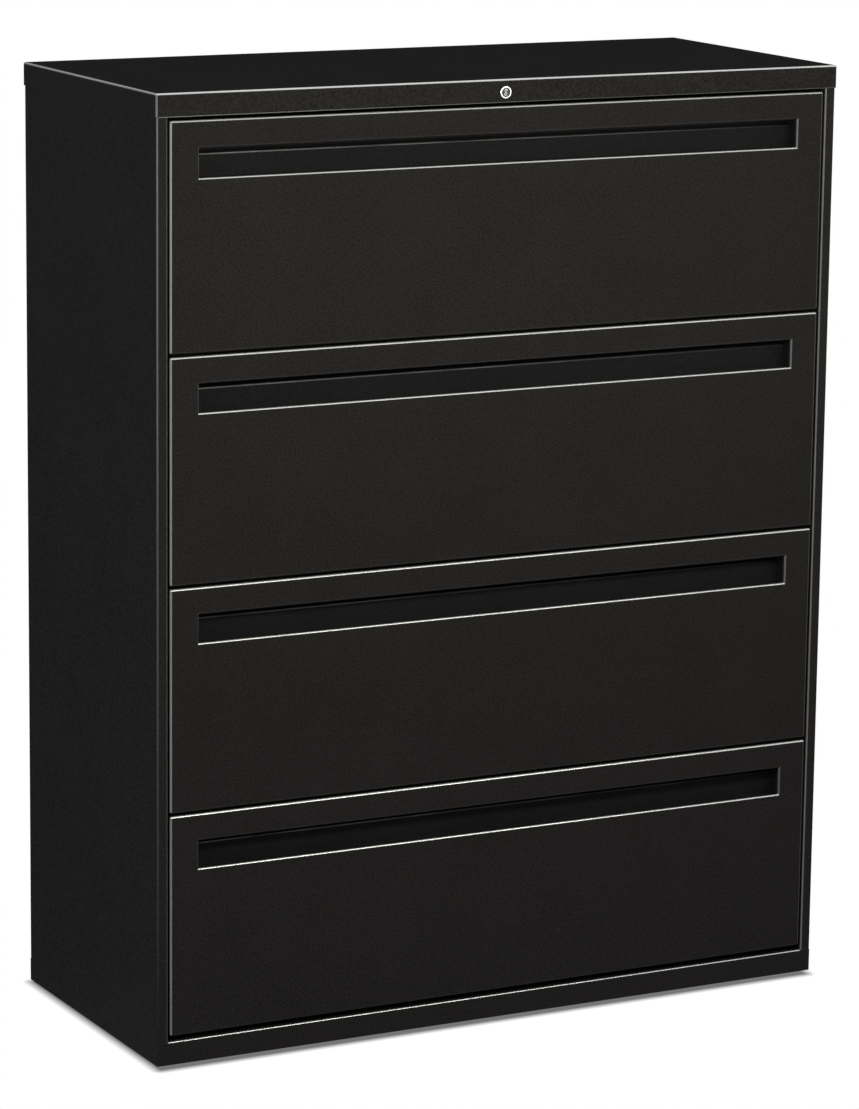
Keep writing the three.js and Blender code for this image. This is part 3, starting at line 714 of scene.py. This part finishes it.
@dataclass
class Tray:
    """A shallow folded lid: the cap and the plinth are both one, open downwards."""

    node: str
    roll: float
    hem: float
    hidden_ends: float
    sheet: float = 1.2 * MM
    # Strength of the painted highlight on the front of the lower edge.
    hem_highlight: float = 2.2
    line_end: float = 0.5 * MM
    steps: int = 6

    def surface(self) -> Surface:
        """Rings from the inside of the lid over its lower edge, up the outside and over the rolled top edge.

        On the roll the inset is R (1 - cos a) and the drop R (1 - sin a), with a over a quarter turn. The bend share,
        which sets the painted edge highlight, is 1 on the roll and on the upright corners, and has the hem's own
        strength on the front of the lower edge. Where the case stands on the lid, it is 1 only on the front's roll
        between the hidden ends.

        Returns:
            The closed surface.
        """
        low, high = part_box(self.node)
        centre = ((low.x + high.x) / 2, (low.y + high.y) / 2)
        half = np.array([(high.x - low.x) / 2, (high.y - low.y) / 2])
        turn = quarter_turn(self.steps)
        inner_roll = self.roll - self.sheet
        inner_inset = self.sheet + inner_roll * (1 - np.cos(turn))
        inner_z = high.z - self.sheet - inner_roll * (1 - np.sin(turn))
        inset = np.concatenate([inner_inset[::-1], [self.sheet, 0.0, 0.0, 0.0], self.roll * (1 - np.cos(turn))])
        lower = [low.z, low.z, low.z + self.hem / 2, low.z + self.hem]
        z = np.concatenate([inner_z[::-1], lower, high.z - self.roll * (1 - np.sin(turn))])
        radii = np.maximum(self.roll - inset, LEAST_RADIUS)
        round_corners = np.stack([rounded_ring(centre, tuple(half - i), r) for i, r in zip(inset, radii)])
        run = 3 * round_corners.shape[1] // 4
        reach = half[0] - self.roll - self.hidden_ends
        between = centre[0] + np.array([-reach - self.line_end, -reach, reach, reach + self.line_end])
        front = np.broadcast_to(round_corners[:, run, None, 1], (len(z), len(between)))
        added = np.stack([np.broadcast_to(between, front.shape), front], axis=-1)
        flat = np.concatenate([round_corners[:, :run], added, round_corners[:, run:]], axis=1)
        rings = np.concatenate([flat, np.broadcast_to(z[:, None, None], (*flat.shape[:2], 1))], axis=-1)
        facing = np.insert(ring_facing(), run, np.full(len(between), 1.5 * math.pi))
        on_front = np.sin(facing) < -0.99
        on_corner = np.abs(np.sin(2 * facing)) > 0.1
        wall = len(turn) + 3
        bend = np.zeros(flat.shape[:2])
        bend[wall + 2 : -1] = 1.0
        if self.hidden_ends > 0:
            bend *= np.insert(np.zeros(len(facing) - len(between)), run, [0.0, 1.0, 1.0, 0.0])
        else:
            bend[wall : wall + 2] = on_corner
            bend[wall - 1] = on_front * self.hem_highlight
        return loft(rings, bend, closed=False)


@dataclass
class Case:
    """Sides with their posts, back, cap and plinth."""

    finishes: Finishes
    sheet: float = 1.2 * MM
    bend: float = 1.0 * MM
    post: float = 16.0 * MM
    post_return: float = 15.0 * MM
    rear_return: float = 20.0 * MM
    seam: float = 1.2 * MM
    # Strength of the painted highlight on the left post's bend beside the drawers.
    inner_highlight: float = 2.0
    hook_room: float = 3.1 * MM
    hook_lip: float = 3.2 * MM
    hook_width: float = 25.0 * MM
    hook_offsets: Pair = (-124.0 * MM, 142.0 * MM)
    nut_bore: float = 5.3 * MM
    nut_radius: float = 11.0 * MM
    nut_height: float = 13.0 * MM
    nut_edge: float = 1.0 * MM

    def side(self, side: Side) -> Surface:
        """One sheet: rear return, wall, front post and the return behind the post, drawn up from plinth to cap.

        The bend beside the drawers keeps its painted highlight down to the plinth, and on the left that painted
        highlight is the stronger one, as painted light from the left. The painted highlights of the other bends fade
        out downwards, as painted light that falls off towards the floor.

        Args:
            side: Which side.

        Returns:
            The closed surface.
        """
        low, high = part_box(f"side_panel_{side.value}")
        t = self.sheet / 2
        outer = (high.x if side is Side.RIGHT else -low.x) - t
        front, rear = low.y + t, high.y - t
        inner = outer + t - self.post + t
        path = [
            (outer - self.rear_return, rear),
            (outer, rear),
            (outer, front),
            (inner, front),
            (inner, front + self.post_return - t),
        ]
        outline, mark = bent_sheet([(side.sign * x, y) for x, y in path], self.sheet, self.bend)
        by_drawers = np.abs(np.abs(outline[:, 0]) - inner) < self.post / 4
        if side is Side.LEFT:
            mark = mark * np.where(by_drawers, self.inner_highlight, 1.0)
        return drawn_out(outline, mark, Axis.Z, low.z - self.seam, high.z, by_drawers)

    def back(self) -> Surface:
        """The back sheet with its two edges turned forward.

        Returns:
            The closed surface.
        """
        low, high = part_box("back_panel")
        t = self.sheet / 2
        path = [(low.x + t, low.y), (low.x + t, high.y - t), (high.x - t, high.y - t), (high.x - t, low.y)]
        outline, mark = bent_sheet(path, self.sheet, self.bend)
        return drawn_out(outline, mark, Axis.Z, low.z, high.z)

    def cradle(self, x: float) -> Surface:
        """A hook under the cap in which the lock's link slides: a bent strip drawn out along X.

        Args:
            x: The hook's middle.

        Returns:
            The closed surface.
        """
        link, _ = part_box("lock_link")
        t = self.sheet / 2
        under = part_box("top_cap")[1].z - self.sheet + LAP
        front, rear = link.y - PLAY - t, link.y + self.hook_room + t
        bottom = link.z - PLAY - t
        path = [(rear, under), (rear, bottom), (front, bottom), (front, bottom + self.hook_lip)]
        outline, mark = bent_sheet(path, self.sheet, LEAST_RADIUS)
        return drawn_out(outline, np.zeros_like(mark), Axis.X, x - self.hook_width / 2, x + self.hook_width / 2)

    def boss(self, corner: str) -> Surface:
        """A weld nut under the plinth's top for one glide: a turned ring with chamfered edges.

        Args:
            corner: The glide's corner.

        Returns:
            The closed surface.
        """
        low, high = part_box(f"glide_{corner}")
        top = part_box("base_pan")[1].z - self.sheet + LAP
        bottom = top - self.nut_height
        bore, radius, edge = self.nut_bore, self.nut_radius, self.nut_edge
        profile = np.array(
            [(bore, top), (bore + edge / 2, bottom), (radius - edge, bottom), (radius, bottom + edge), (radius, top)]
        )
        return revolved(profile, ((low.x + high.x) / 2, (low.y + high.y) / 2, 0.0), Axis.Z, ring=True)

    def build(self) -> None:
        """Makes and dresses the case."""
        for side in Side:
            node = f"side_panel_{side.value}"
            piece = make_piece(f"{node}_sheet", self.side(side), "case", [node])
            dress(piece, self.finishes.case_paint)
            for end in ("front", "rear"):
                upright = f"upright_{end}_{side.value}"
                soften_node(upright)
                dress_node(upright, self.finishes.inner_paint)
        lock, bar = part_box("lock_body"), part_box("lock_bar")[0]
        beside = ((lock[0].x + lock[1].x) / 2, bar.x)
        hooks = [self.cradle(x + offset) for x, offset in zip(beside, self.hook_offsets)]
        cap = Tray("top_cap", roll=2.8 * MM, hem=1.4 * MM, hidden_ends=0.0).surface()
        plinth = Tray("base_pan", roll=1.6 * MM, hem=0.2 * MM, hidden_ends=self.post).surface()
        sheets = {
            "back_panel": self.back(),
            "top_cap": cap.joined(*hooks),
            "base_pan": plinth.joined(*map(self.boss, CORNERS)),
        }
        for node, surface in sheets.items():
            piece = make_piece(f"{node}_sheet", surface, "case", [node])
            dress(piece, self.finishes.case_paint)


@dataclass
class Drawer:
    """One drawer: front with its pull slot, finger pocket, tub, hang rail and the members of its slides."""

    number: int
    finishes: Finishes
    sheet: float = 1.0 * MM
    roll: float = 2.8 * MM
    corner: float = 2.8 * MM
    slot_margin: float = 43.0 * MM
    slot_drop: float = 38.0 * MM
    slot_height: float = 40.0 * MM
    slot_corner: float = 0.7 * MM
    rim: float = 2.4 * MM
    # Share of the painted highlight on the slot rim's ends, against its top and bottom.
    rim_side_highlight: float = 0.45
    collar: float = 6.0 * MM
    face_edge: float = 0.4 * MM
    pocket_wall: float = 26.0 * MM
    pocket_bend: float = 1.5 * MM
    ledge_drop: float = 11.0 * MM
    ledge_rise: float = 4.0 * MM
    # The band round the ledge that gets the painted highlight, and how much of it is left at the right end.
    ledge_line: float = 3.0 * MM
    ledge_highlight_fade: float = 0.05
    slide_web: float = 1.15 * MM
    screw_head: Pair = (4.2 * MM, 2.2 * MM)
    screw_core: float = 0.4 * MM
    screw_places: tuple[float, ...] = (0.12, 0.38, 0.62, 0.88)
    steps: int = 6

    def node(self, name: str) -> str:
        """The full name of one of this drawer's nodes."""
        return f"drawer_{self.number}_{name}"

    def front(self) -> Surface:
        """Rings round the front's edge and round the slot, joined into one closed sheet.

        The rings run from the rear edge of the flange over the rolled outer edge, across the face, over the slot's
        rolled rim to the end of its collar, and back behind the face. On a roll the inset and the depth follow a
        quarter circle.

        Returns:
            The closed surface.
        """
        low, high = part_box(self.node("front"))
        half = np.array([(high.x - low.x) / 2, (high.z - low.z) / 2])
        middle = ((low.x + high.x) / 2, (low.z + high.z) / 2)
        slot_half = np.array([half[0] - self.slot_margin, self.slot_height / 2])
        slot_middle = (middle[0], high.z - self.slot_drop - self.slot_height / 2)
        turn = quarter_turn(self.steps)

        def edge_rings(inset: np.ndarray, depth: np.ndarray) -> np.ndarray:
            """Rings inside the front's outline."""
            flat = [rounded_ring(middle, tuple(half - i), max(self.corner - i, LEAST_RADIUS)) for i in inset]
            return np.stack([Axis.Y.place(r[:, 0], r[:, 1], np.array(d)) for r, d in zip(flat, low.y + depth)])

        def slot_rings(outset: np.ndarray, depth: np.ndarray) -> np.ndarray:
            """Rings outside the slot's outline."""
            flat = [rounded_ring(slot_middle, tuple(slot_half + o), self.slot_corner) for o in outset]
            return np.stack([Axis.Y.place(r[:, 0], r[:, 1], np.array(d)) for r, d in zip(flat, low.y + depth)])

        flange = high.y - low.y
        inner = self.roll - self.sheet
        outside = edge_rings(
            np.concatenate([[self.sheet, 0.0], self.roll * (1 - np.cos(turn)), [self.roll + self.face_edge]]),
            np.concatenate([[flange, flange], self.roll * (1 - np.sin(turn)), [0.0]]),
        )
        rim = slot_rings(
            np.concatenate([[self.rim + self.face_edge], self.rim * (1 - np.sin(turn)), [0.0, self.sheet, self.sheet]]),
            np.concatenate([[0.0], self.rim * (1 - np.cos(turn)), [self.collar, self.collar, self.rim]]),
        )
        behind_slot = slot_rings(np.array([self.rim]), np.array([self.sheet]))
        behind = edge_rings(
            self.sheet + inner * (1 - np.cos(turn[::-1])),
            self.sheet + inner * (1 - np.sin(turn[::-1])),
        )
        rings = np.concatenate([outside, rim, behind_slot, behind])
        # The bend share below sets the painted edge highlight: full on the outer roll, and on the slot's rim less at
        # the ends than at top and bottom.
        bend = np.zeros(rings.shape[:2])
        bend[3 : 1 + len(turn)] = 1.0
        first = len(outside) + 1
        level = np.abs(np.sin(ring_facing()))
        bend[first + 1 : first + len(turn) - 1] = self.rim_side_highlight + (1 - self.rim_side_highlight) * level
        return loft(rings, bend, closed=True)

    def pocket(self) -> Surface:
        """The pocket's bent sheet drawn out along the slot, with a flat cheek at each end.

        Only the bend of the ledge gets the painted edge highlight, which fades from left to right.

        Returns:
            The closed surface.
        """
        low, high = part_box(self.node("pull_pan"))
        front_low, front_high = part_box(self.node("front"))
        t = self.sheet / 2
        slot_top = front_high.z - self.slot_drop
        near = front_low.y + self.sheet + PLAY + t
        wall = front_low.y + self.pocket_wall
        rear = high.y - t
        floor = slot_top - self.slot_height - self.rim - self.sheet - PLAY - t
        ledge = slot_top - self.ledge_drop
        crown = high.z - t
        path = [
            (near, low.z),
            (near, floor),
            (wall, floor),
            (wall, ledge),
            (rear, ledge + self.ledge_rise),
            (rear, crown),
            (near - t, crown),
        ]
        outline, mark = bent_sheet(path, self.sheet, self.pocket_bend)
        mark *= np.abs(outline[:, 1] - ledge) < self.ledge_line
        trough = drawn_out(outline, mark, Axis.X, low.x, high.x, high_share=self.ledge_highlight_fade)
        cheek = np.array([(near + self.rim, floor), *path[2:6], (near + self.rim, crown)])
        flat = np.zeros(len(cheek))
        left = drawn_out(cheek, flat, Axis.X, low.x, low.x + self.sheet)
        right = drawn_out(cheek, flat, Axis.X, high.x - self.sheet, high.x)
        return trough.joined(left, right)

    def screws(self, side: Side) -> Surface:
        """The heads of the screws that hold an inner slide to the tub, each a turned dome with a hollow in it.

        The head's radius is R sin a at a height h cos a, with a from 30 to 90 degrees, and the hollow is a small cone.

        Args:
            side: Which side.

        Returns:
            The closed surfaces of the heads.
        """
        low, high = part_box(f"slide_{self.number}_inner_{side.value}")
        web = (low.x if side is Side.RIGHT else high.x) + side.sign * self.slide_web
        radius, height = self.screw_head
        turn = np.linspace(math.radians(30), math.pi / 2, 7)
        dome = np.column_stack([radius * np.sin(turn), side.sign * height * np.cos(turn)])
        hollow = np.array([(0.4, 0.7), (1.3, 0.9), (1.9, 1.85)]) * MM * np.array([1.0, side.sign])
        profile = np.concatenate([hollow, dome, [(self.screw_core, 0.0)]])
        places = low.y + (high.y - low.y) * np.array(self.screw_places)
        heads = [revolved(profile, (web, y, (low.z + high.z) / 2), Axis.X, ring=False, around=32) for y in places]
        return heads[0].joined(*heads[1:])

    def build(self) -> None:
        """Makes and dresses the drawer."""
        body = f"drawer_{self.number}"
        front = make_piece(self.node("front_skin"), self.front(), body, [self.node("front")])
        dress(front, self.finishes.paint)
        pocket = make_piece(self.node("finger_pocket"), self.pocket(), body, [self.node("pull_pan")])
        dress(pocket, self.finishes.pocket_paint)
        soften_node(self.node("tub"))
        dress_node(self.node("tub"), self.finishes.inner_paint)
        soften_node(self.node("hang_rail"))
        dress_node(self.node("hang_rail"), self.finishes.zinc)
        for side in Side:
            for member in ("outer", "middle", "inner"):
                dress_node(f"slide_{self.number}_{member}_{side.value}", self.finishes.zinc)
            heads = make_piece(f"slide_{self.number}_screws_{side.value}", self.screws(side), body)
            dress(heads, self.finishes.dark_zinc)


@dataclass
class Lock:
    """The lock's bezel and barrel, and the parts that the key moves."""

    finishes: Finishes
    plug: float = 6.2 * MM
    plug_edge: float = 0.25 * MM
    lip: Pair = (0.4 * MM, 0.5 * MM)
    bezel_inset: float = 0.9 * MM
    bezel_depth: float = 2.1 * MM
    bezel_edge: float = 1.1 * MM
    barrel_inset: float = 1.2 * MM
    keyway: Pair = (1.1 * MM, 4.3 * MM)
    keyway_corner: float = 0.4 * MM

    def bezel(self) -> Surface:
        """The bezel and barrel turned on the lock's axis.

        The lip of the bore follows a quarter of an ellipse and the bezel's edge a quarter circle.

        Returns:
            The closed surface.
        """
        low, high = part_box("lock_body")
        centre = (low + high) / 2
        radius = (high.x - low.x) / 2
        bezel, barrel = radius - self.bezel_inset, radius - self.barrel_inset
        bore = self.plug + PLAY
        face, seat = low.y, low.y + self.bezel_depth
        turn = quarter_turn()
        out, deep = self.lip
        lip = np.column_stack([bore + out * (1 - np.cos(turn)), face + deep * (1 - np.sin(turn))])
        edge = self.bezel_edge
        rounding = np.column_stack([bezel - edge * (1 - np.sin(turn)), face + edge * (1 - np.cos(turn))])
        behind = np.array([(bezel, seat), (barrel, seat), (barrel, high.y)])
        profile = np.concatenate([[(bore, high.y)], lip, rounding, behind])
        return revolved(profile, (centre.x, 0.0, centre.z), Axis.Y, ring=True)

    def key_guide(self) -> Surface:
        """A thin raised rim round the keyway: rings out from the keyway's edge, over the rim and down to the plug.

        Returns:
            The closed surface.
        """
        low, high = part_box("lock_plug")
        middle = ((low.x + high.x) / 2, (low.z + high.z) / 2)
        outset = np.array([0.0, 0.0, 0.15, 0.45, 0.6, 0.6]) * MM
        depth = np.array([0.3, -0.1, -0.3, -0.3, -0.1, 0.3]) * MM
        half = np.array(self.keyway)
        flat = np.stack([rounded_ring(middle, tuple(half + o), self.keyway_corner + o) for o in outset])
        rings = Axis.Y.place(flat[..., 0], flat[..., 1], low.y + depth[:, None])
        return loft(rings, np.zeros(len(rings)), closed=True)

    def build(self) -> None:
        """Makes and dresses the lock."""
        piece = make_piece("lock_bezel", self.bezel(), "case", ["lock_body"])
        dress(piece, self.finishes.nickel)
        soften_node("lock_plug", self.plug_edge)
        dress_node("lock_plug", self.finishes.dark_nickel)
        guide = make_piece("lock_key_guide", self.key_guide(), "lock_turn")
        dress(guide, self.finishes.nickel)
        for node in ("lock_nut", "lock_cam", "lock_link", "lock_bar"):
            dress_node(node, self.finishes.zinc)


@dataclass
class Glides:
    """The four levelling feet, each a nylon foot on a threaded stem."""

    finishes: Finishes
    foot: float = 19.0 * MM
    foot_height: float = 9.0 * MM
    foot_edge: float = 2.0 * MM
    shoulder: float = 9.5 * MM
    stem: float = 5.0 * MM
    stem_end: float = 4.0 * MM
    stem_depth: float = 0.5 * MM
    core: float = 1.0 * MM
    pitch: float = 1.5 * MM
    groove: float = 0.45 * MM

    def foot_profile(self, floor: float) -> np.ndarray:
        """The foot: a rounded lower edge, and a crown whose radius falls as a cosine and whose height grows as a sine.

        Args:
            floor: Height of the foot's underside.

        Returns:
            Rows of radius and height.
        """
        turn = quarter_turn()
        edge = self.foot_edge
        rim = np.column_stack([self.foot - edge * (1 - np.sin(turn)), edge * (1 - np.cos(turn))])
        climb = np.linspace(0.15, 1.0, 8) * math.pi / 2
        width, rise = self.foot - self.shoulder, self.foot_height - edge
        crown = np.column_stack([self.shoulder + width * np.cos(climb), edge + rise * np.sin(climb)])
        profile = np.concatenate([[(self.core, 0.0)], rim, crown, [(self.core, self.foot_height)]])
        return profile + np.array([0.0, floor])

    def stem_profile(self, floor: float, top: float) -> np.ndarray:
        """The stem, with a groove in every pitch of its thread.

        Args:
            floor: Height of the foot's underside.
            top: Height of the stem's end.

        Returns:
            Rows of radius and height.
        """
        start = floor + self.foot_height - self.stem_depth
        height = np.arange(start, top - self.pitch, self.pitch / 2)
        radius = self.stem - self.groove * (np.arange(len(height)) % 2)
        ends = np.array([(self.stem_end, top), (self.core, top)])
        return np.concatenate([[(self.core, start)], np.column_stack([radius, height]), ends])

    def build(self) -> None:
        """Makes and dresses the glides."""
        for corner in CORNERS:
            body = f"glide_{corner}"
            low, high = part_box(body)
            centre = ((low.x + high.x) / 2, (low.y + high.y) / 2, 0.0)
            foot = revolved(self.foot_profile(low.z), centre, Axis.Z, ring=False)
            stem = revolved(self.stem_profile(low.z, high.z), centre, Axis.Z, ring=False, around=40)
            dress(make_piece(f"{body}_foot", foot, body, [body]), self.finishes.nylon)
            dress(make_piece(f"{body}_stem", stem, body), self.finishes.zinc)


@dataclass(frozen=True)
class Lamp:
    """A soft rectangular lamp that faces a point."""

    name: str
    place: Triple
    aim: Triple
    size: Pair
    power: float
    color: Triple = (1.0, 1.0, 1.0)

    def hang(self) -> None:
        """Adds the lamp to the scene."""
        data = bpy.data.lights.new(self.name, "AREA")
        data.shape = "RECTANGLE"
        data.size, data.size_y = self.size
        data.energy = self.power
        data.color = self.color
        lamp = bpy.data.objects.new(self.name, data)
        bpy.context.collection.objects.link(lamp)
        toward = Vector(self.aim) - Vector(self.place)
        turned = toward.to_track_quat("-Z", "Y").to_matrix().to_4x4()
        lamp.matrix_world = Matrix.Translation(self.place) @ turned


@dataclass
class Studio:
    """Camera, pale floor, soft lights and a white surround."""

    eye: Triple = (-2.98567, -5.68368, 1.98434)
    yaw: float = 27.737
    pitch: float = 11.827
    roll: float = 0.677
    focal_px: float = 4514.09
    frame_px: tuple[int, int] = (859, 1109)
    sensor: float = 36.0
    floor_reach: float = 40.0
    floor_light: float = 0.42
    floor_mirror: Pair = (0.48, -0.27)
    world_light: float = 0.45
    world_mirror: float = 0.03
    # The painted shadow round the plinth: its shift, inset, reach and darkest level.
    shadow_shift: Pair = (-3.0 * MM, -3.0 * MM)
    shadow_inset: float = 7.0 * MM
    shadow_reach: float = 16.0 * MM
    shadow_level: float = 0.18
    lamps: tuple[Lamp, ...] = (
        Lamp("front_high", (0.0, -1.4, 1.4), (0.0, -0.2, 1.15), (2.2, 0.3), 18.2, (0.98, 1.0, 0.88)),
        Lamp("left", (-3.6, -1.2, 1.6), (0.0, 0.0, 0.8), (1.6, 2.2), 44.0),
        Lamp("right", (3.4, -2.6, 1.8), (0.0, 0.0, 0.8), (1.2, 2.2), 13.0),
        Lamp("rear", (0.5, 3.0, 0.9), (0.0, 0.2, 0.75), (2.4, 0.8), 55.0),
        Lamp("right_rear", (3.6, 1.2, 0.9), (0.5, 0.0, 0.75), (2.0, 0.8), 40.0),
    )

    def camera(self) -> None:
        """Places the camera at the photograph's viewing angle."""
        data = bpy.data.cameras.new("camera")
        data.sensor_width = self.sensor
        data.lens = self.focal_px / max(self.frame_px) * self.sensor
        data.clip_end = 100.0
        eye = bpy.data.objects.new("camera", data)
        bpy.context.collection.objects.link(eye)
        yaw, pitch, roll = (math.radians(v) for v in (self.yaw, self.pitch, self.roll))
        ahead = Vector((math.sin(yaw) * math.cos(pitch), math.cos(yaw) * math.cos(pitch), -math.sin(pitch)))
        level = ahead.cross(Vector((0, 0, 1))).normalized()
        up = level.cross(ahead)
        right = level * math.cos(roll) + up * math.sin(roll)
        top = right.cross(ahead)
        eye.matrix_world = Matrix.Translation(self.eye) @ Matrix((right, top, -ahead)).transposed().to_4x4()
        bpy.context.scene.camera = eye

    def floor(self) -> None:
        """A pale floor that shows white, with a narrow painted shadow round the plinth, and clear from below.

        The painted shadow falls off with the distance from the plinth's outline, moved a little to the front and the
        left. That distance is the length of whatever |p - centre| - half has above nought. In reflections the floor is
        pale at the front and dark to the rear.
        """
        low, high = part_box("base_pan")
        aside, ahead = self.shadow_shift
        centre = ((low.x + high.x) / 2 + aside, (low.y + high.y) / 2 + ahead, 0.0)
        half = ((high.x - low.x) / 2 - self.shadow_inset, (high.y - low.y) / 2, 1.0)
        mesh = bpy.data.meshes.new("floor")
        corners = np.array([(-1, -1), (1, -1), (1, 1), (-1, 1)]) * self.floor_reach
        mesh.from_pydata([(x, y, 0.0) for x, y in corners.tolist()], [], [(0, 1, 2, 3)])
        floor = bpy.data.objects.new("floor", mesh)
        bpy.context.collection.objects.link(floor)
        material, tree = new_material("pale_floor")
        place = tree.place()
        offset = tree.vector("SUBTRACT", place, centre).outputs[0]
        beyond = tree.vector("SUBTRACT", tree.vector("ABSOLUTE", offset).outputs[0], half).outputs[0]
        away = tree.vector("LENGTH", tree.vector("MAXIMUM", beyond, (0.0, 0.0, 0.0)).outputs[0]).outputs["Value"]
        shade = tree.ranged(away, (0.0, self.shadow_reach), (self.shadow_level, 1.0))
        shown = tree.add("ShaderNodeEmission", {"Strength": shade}).outputs[0]
        path = tree.add("ShaderNodeLightPath").outputs
        to_rear = tree.ranged(tree.axes(place)["Y"], (-0.2, 0.4), self.floor_mirror)
        mirrored = tree.maths("MULTIPLY", path["Is Glossy Ray"], to_rear)
        lit = tree.add("ShaderNodeEmission", {"Strength": tree.maths("ADD", self.floor_light, mirrored)}).outputs[0]
        above = tree.add("ShaderNodeMixShader", {0: path["Is Camera Ray"], 1: lit, 2: shown}).outputs[0]
        below = tree.add("ShaderNodeNewGeometry").outputs["Backfacing"]
        clear = tree.add("ShaderNodeBsdfTransparent").outputs[0]
        mix = tree.add("ShaderNodeMixShader", {0: below, 1: above, 2: clear}).outputs[0]
        tree.add("ShaderNodeOutputMaterial", {"Surface": mix})
        dress(floor, material)

    def world(self) -> None:
        """White to the eye, plain grey as light, and in reflections white but for the low part to the rear."""
        world = bpy.data.worlds.new("surround")
        bpy.context.scene.world = world
        world.use_nodes = True
        tree = Nodes(world.node_tree)
        path = tree.add("ShaderNodeLightPath").outputs
        seen = tree.maths("MAXIMUM", path["Is Camera Ray"], path["Is Transmission Ray"])
        toward = tree.axes(tree.add("ShaderNodeTexCoord").outputs["Generated"])
        open_side = tree.ranged(toward["Y"], (0.1, -0.15))
        ceiling = tree.ranged(toward["Z"], (0.3, 0.62), (self.world_mirror, 1.0))
        mirrored = tree.maths("MULTIPLY", path["Is Glossy Ray"], tree.maths("MAXIMUM", ceiling, open_side))
        plain = tree.maths("MULTIPLY", tree.maths("SUBTRACT", 1.0, path["Is Glossy Ray"]), self.world_light)
        level = tree.maths("MAXIMUM", tree.maths("MAXIMUM", seen, mirrored), plain)
        shown = tree.add("ShaderNodeBackground", {"Color": (1, 1, 1, 1), "Strength": level}).outputs[0]
        tree.add("ShaderNodeOutputWorld", {"Surface": shown})

    def build(self) -> None:
        """Sets up the studio."""
        bpy.context.scene.view_settings.view_transform = "Standard"
        self.camera()
        self.floor()
        self.world()
        for lamp in self.lamps:
            lamp.hang()


def main() -> None:
    """Builds the studio and the cabinet."""
    logging.basicConfig(level=logging.INFO)
    Studio().build()
    finishes = Finishes.make_all()
    Case(finishes).build()
    for number in DRAWERS:
        Drawer(number, finishes).build()
    Lock(finishes).build()
    Glides(finishes).build()


if __name__ == "__main__":
    main()
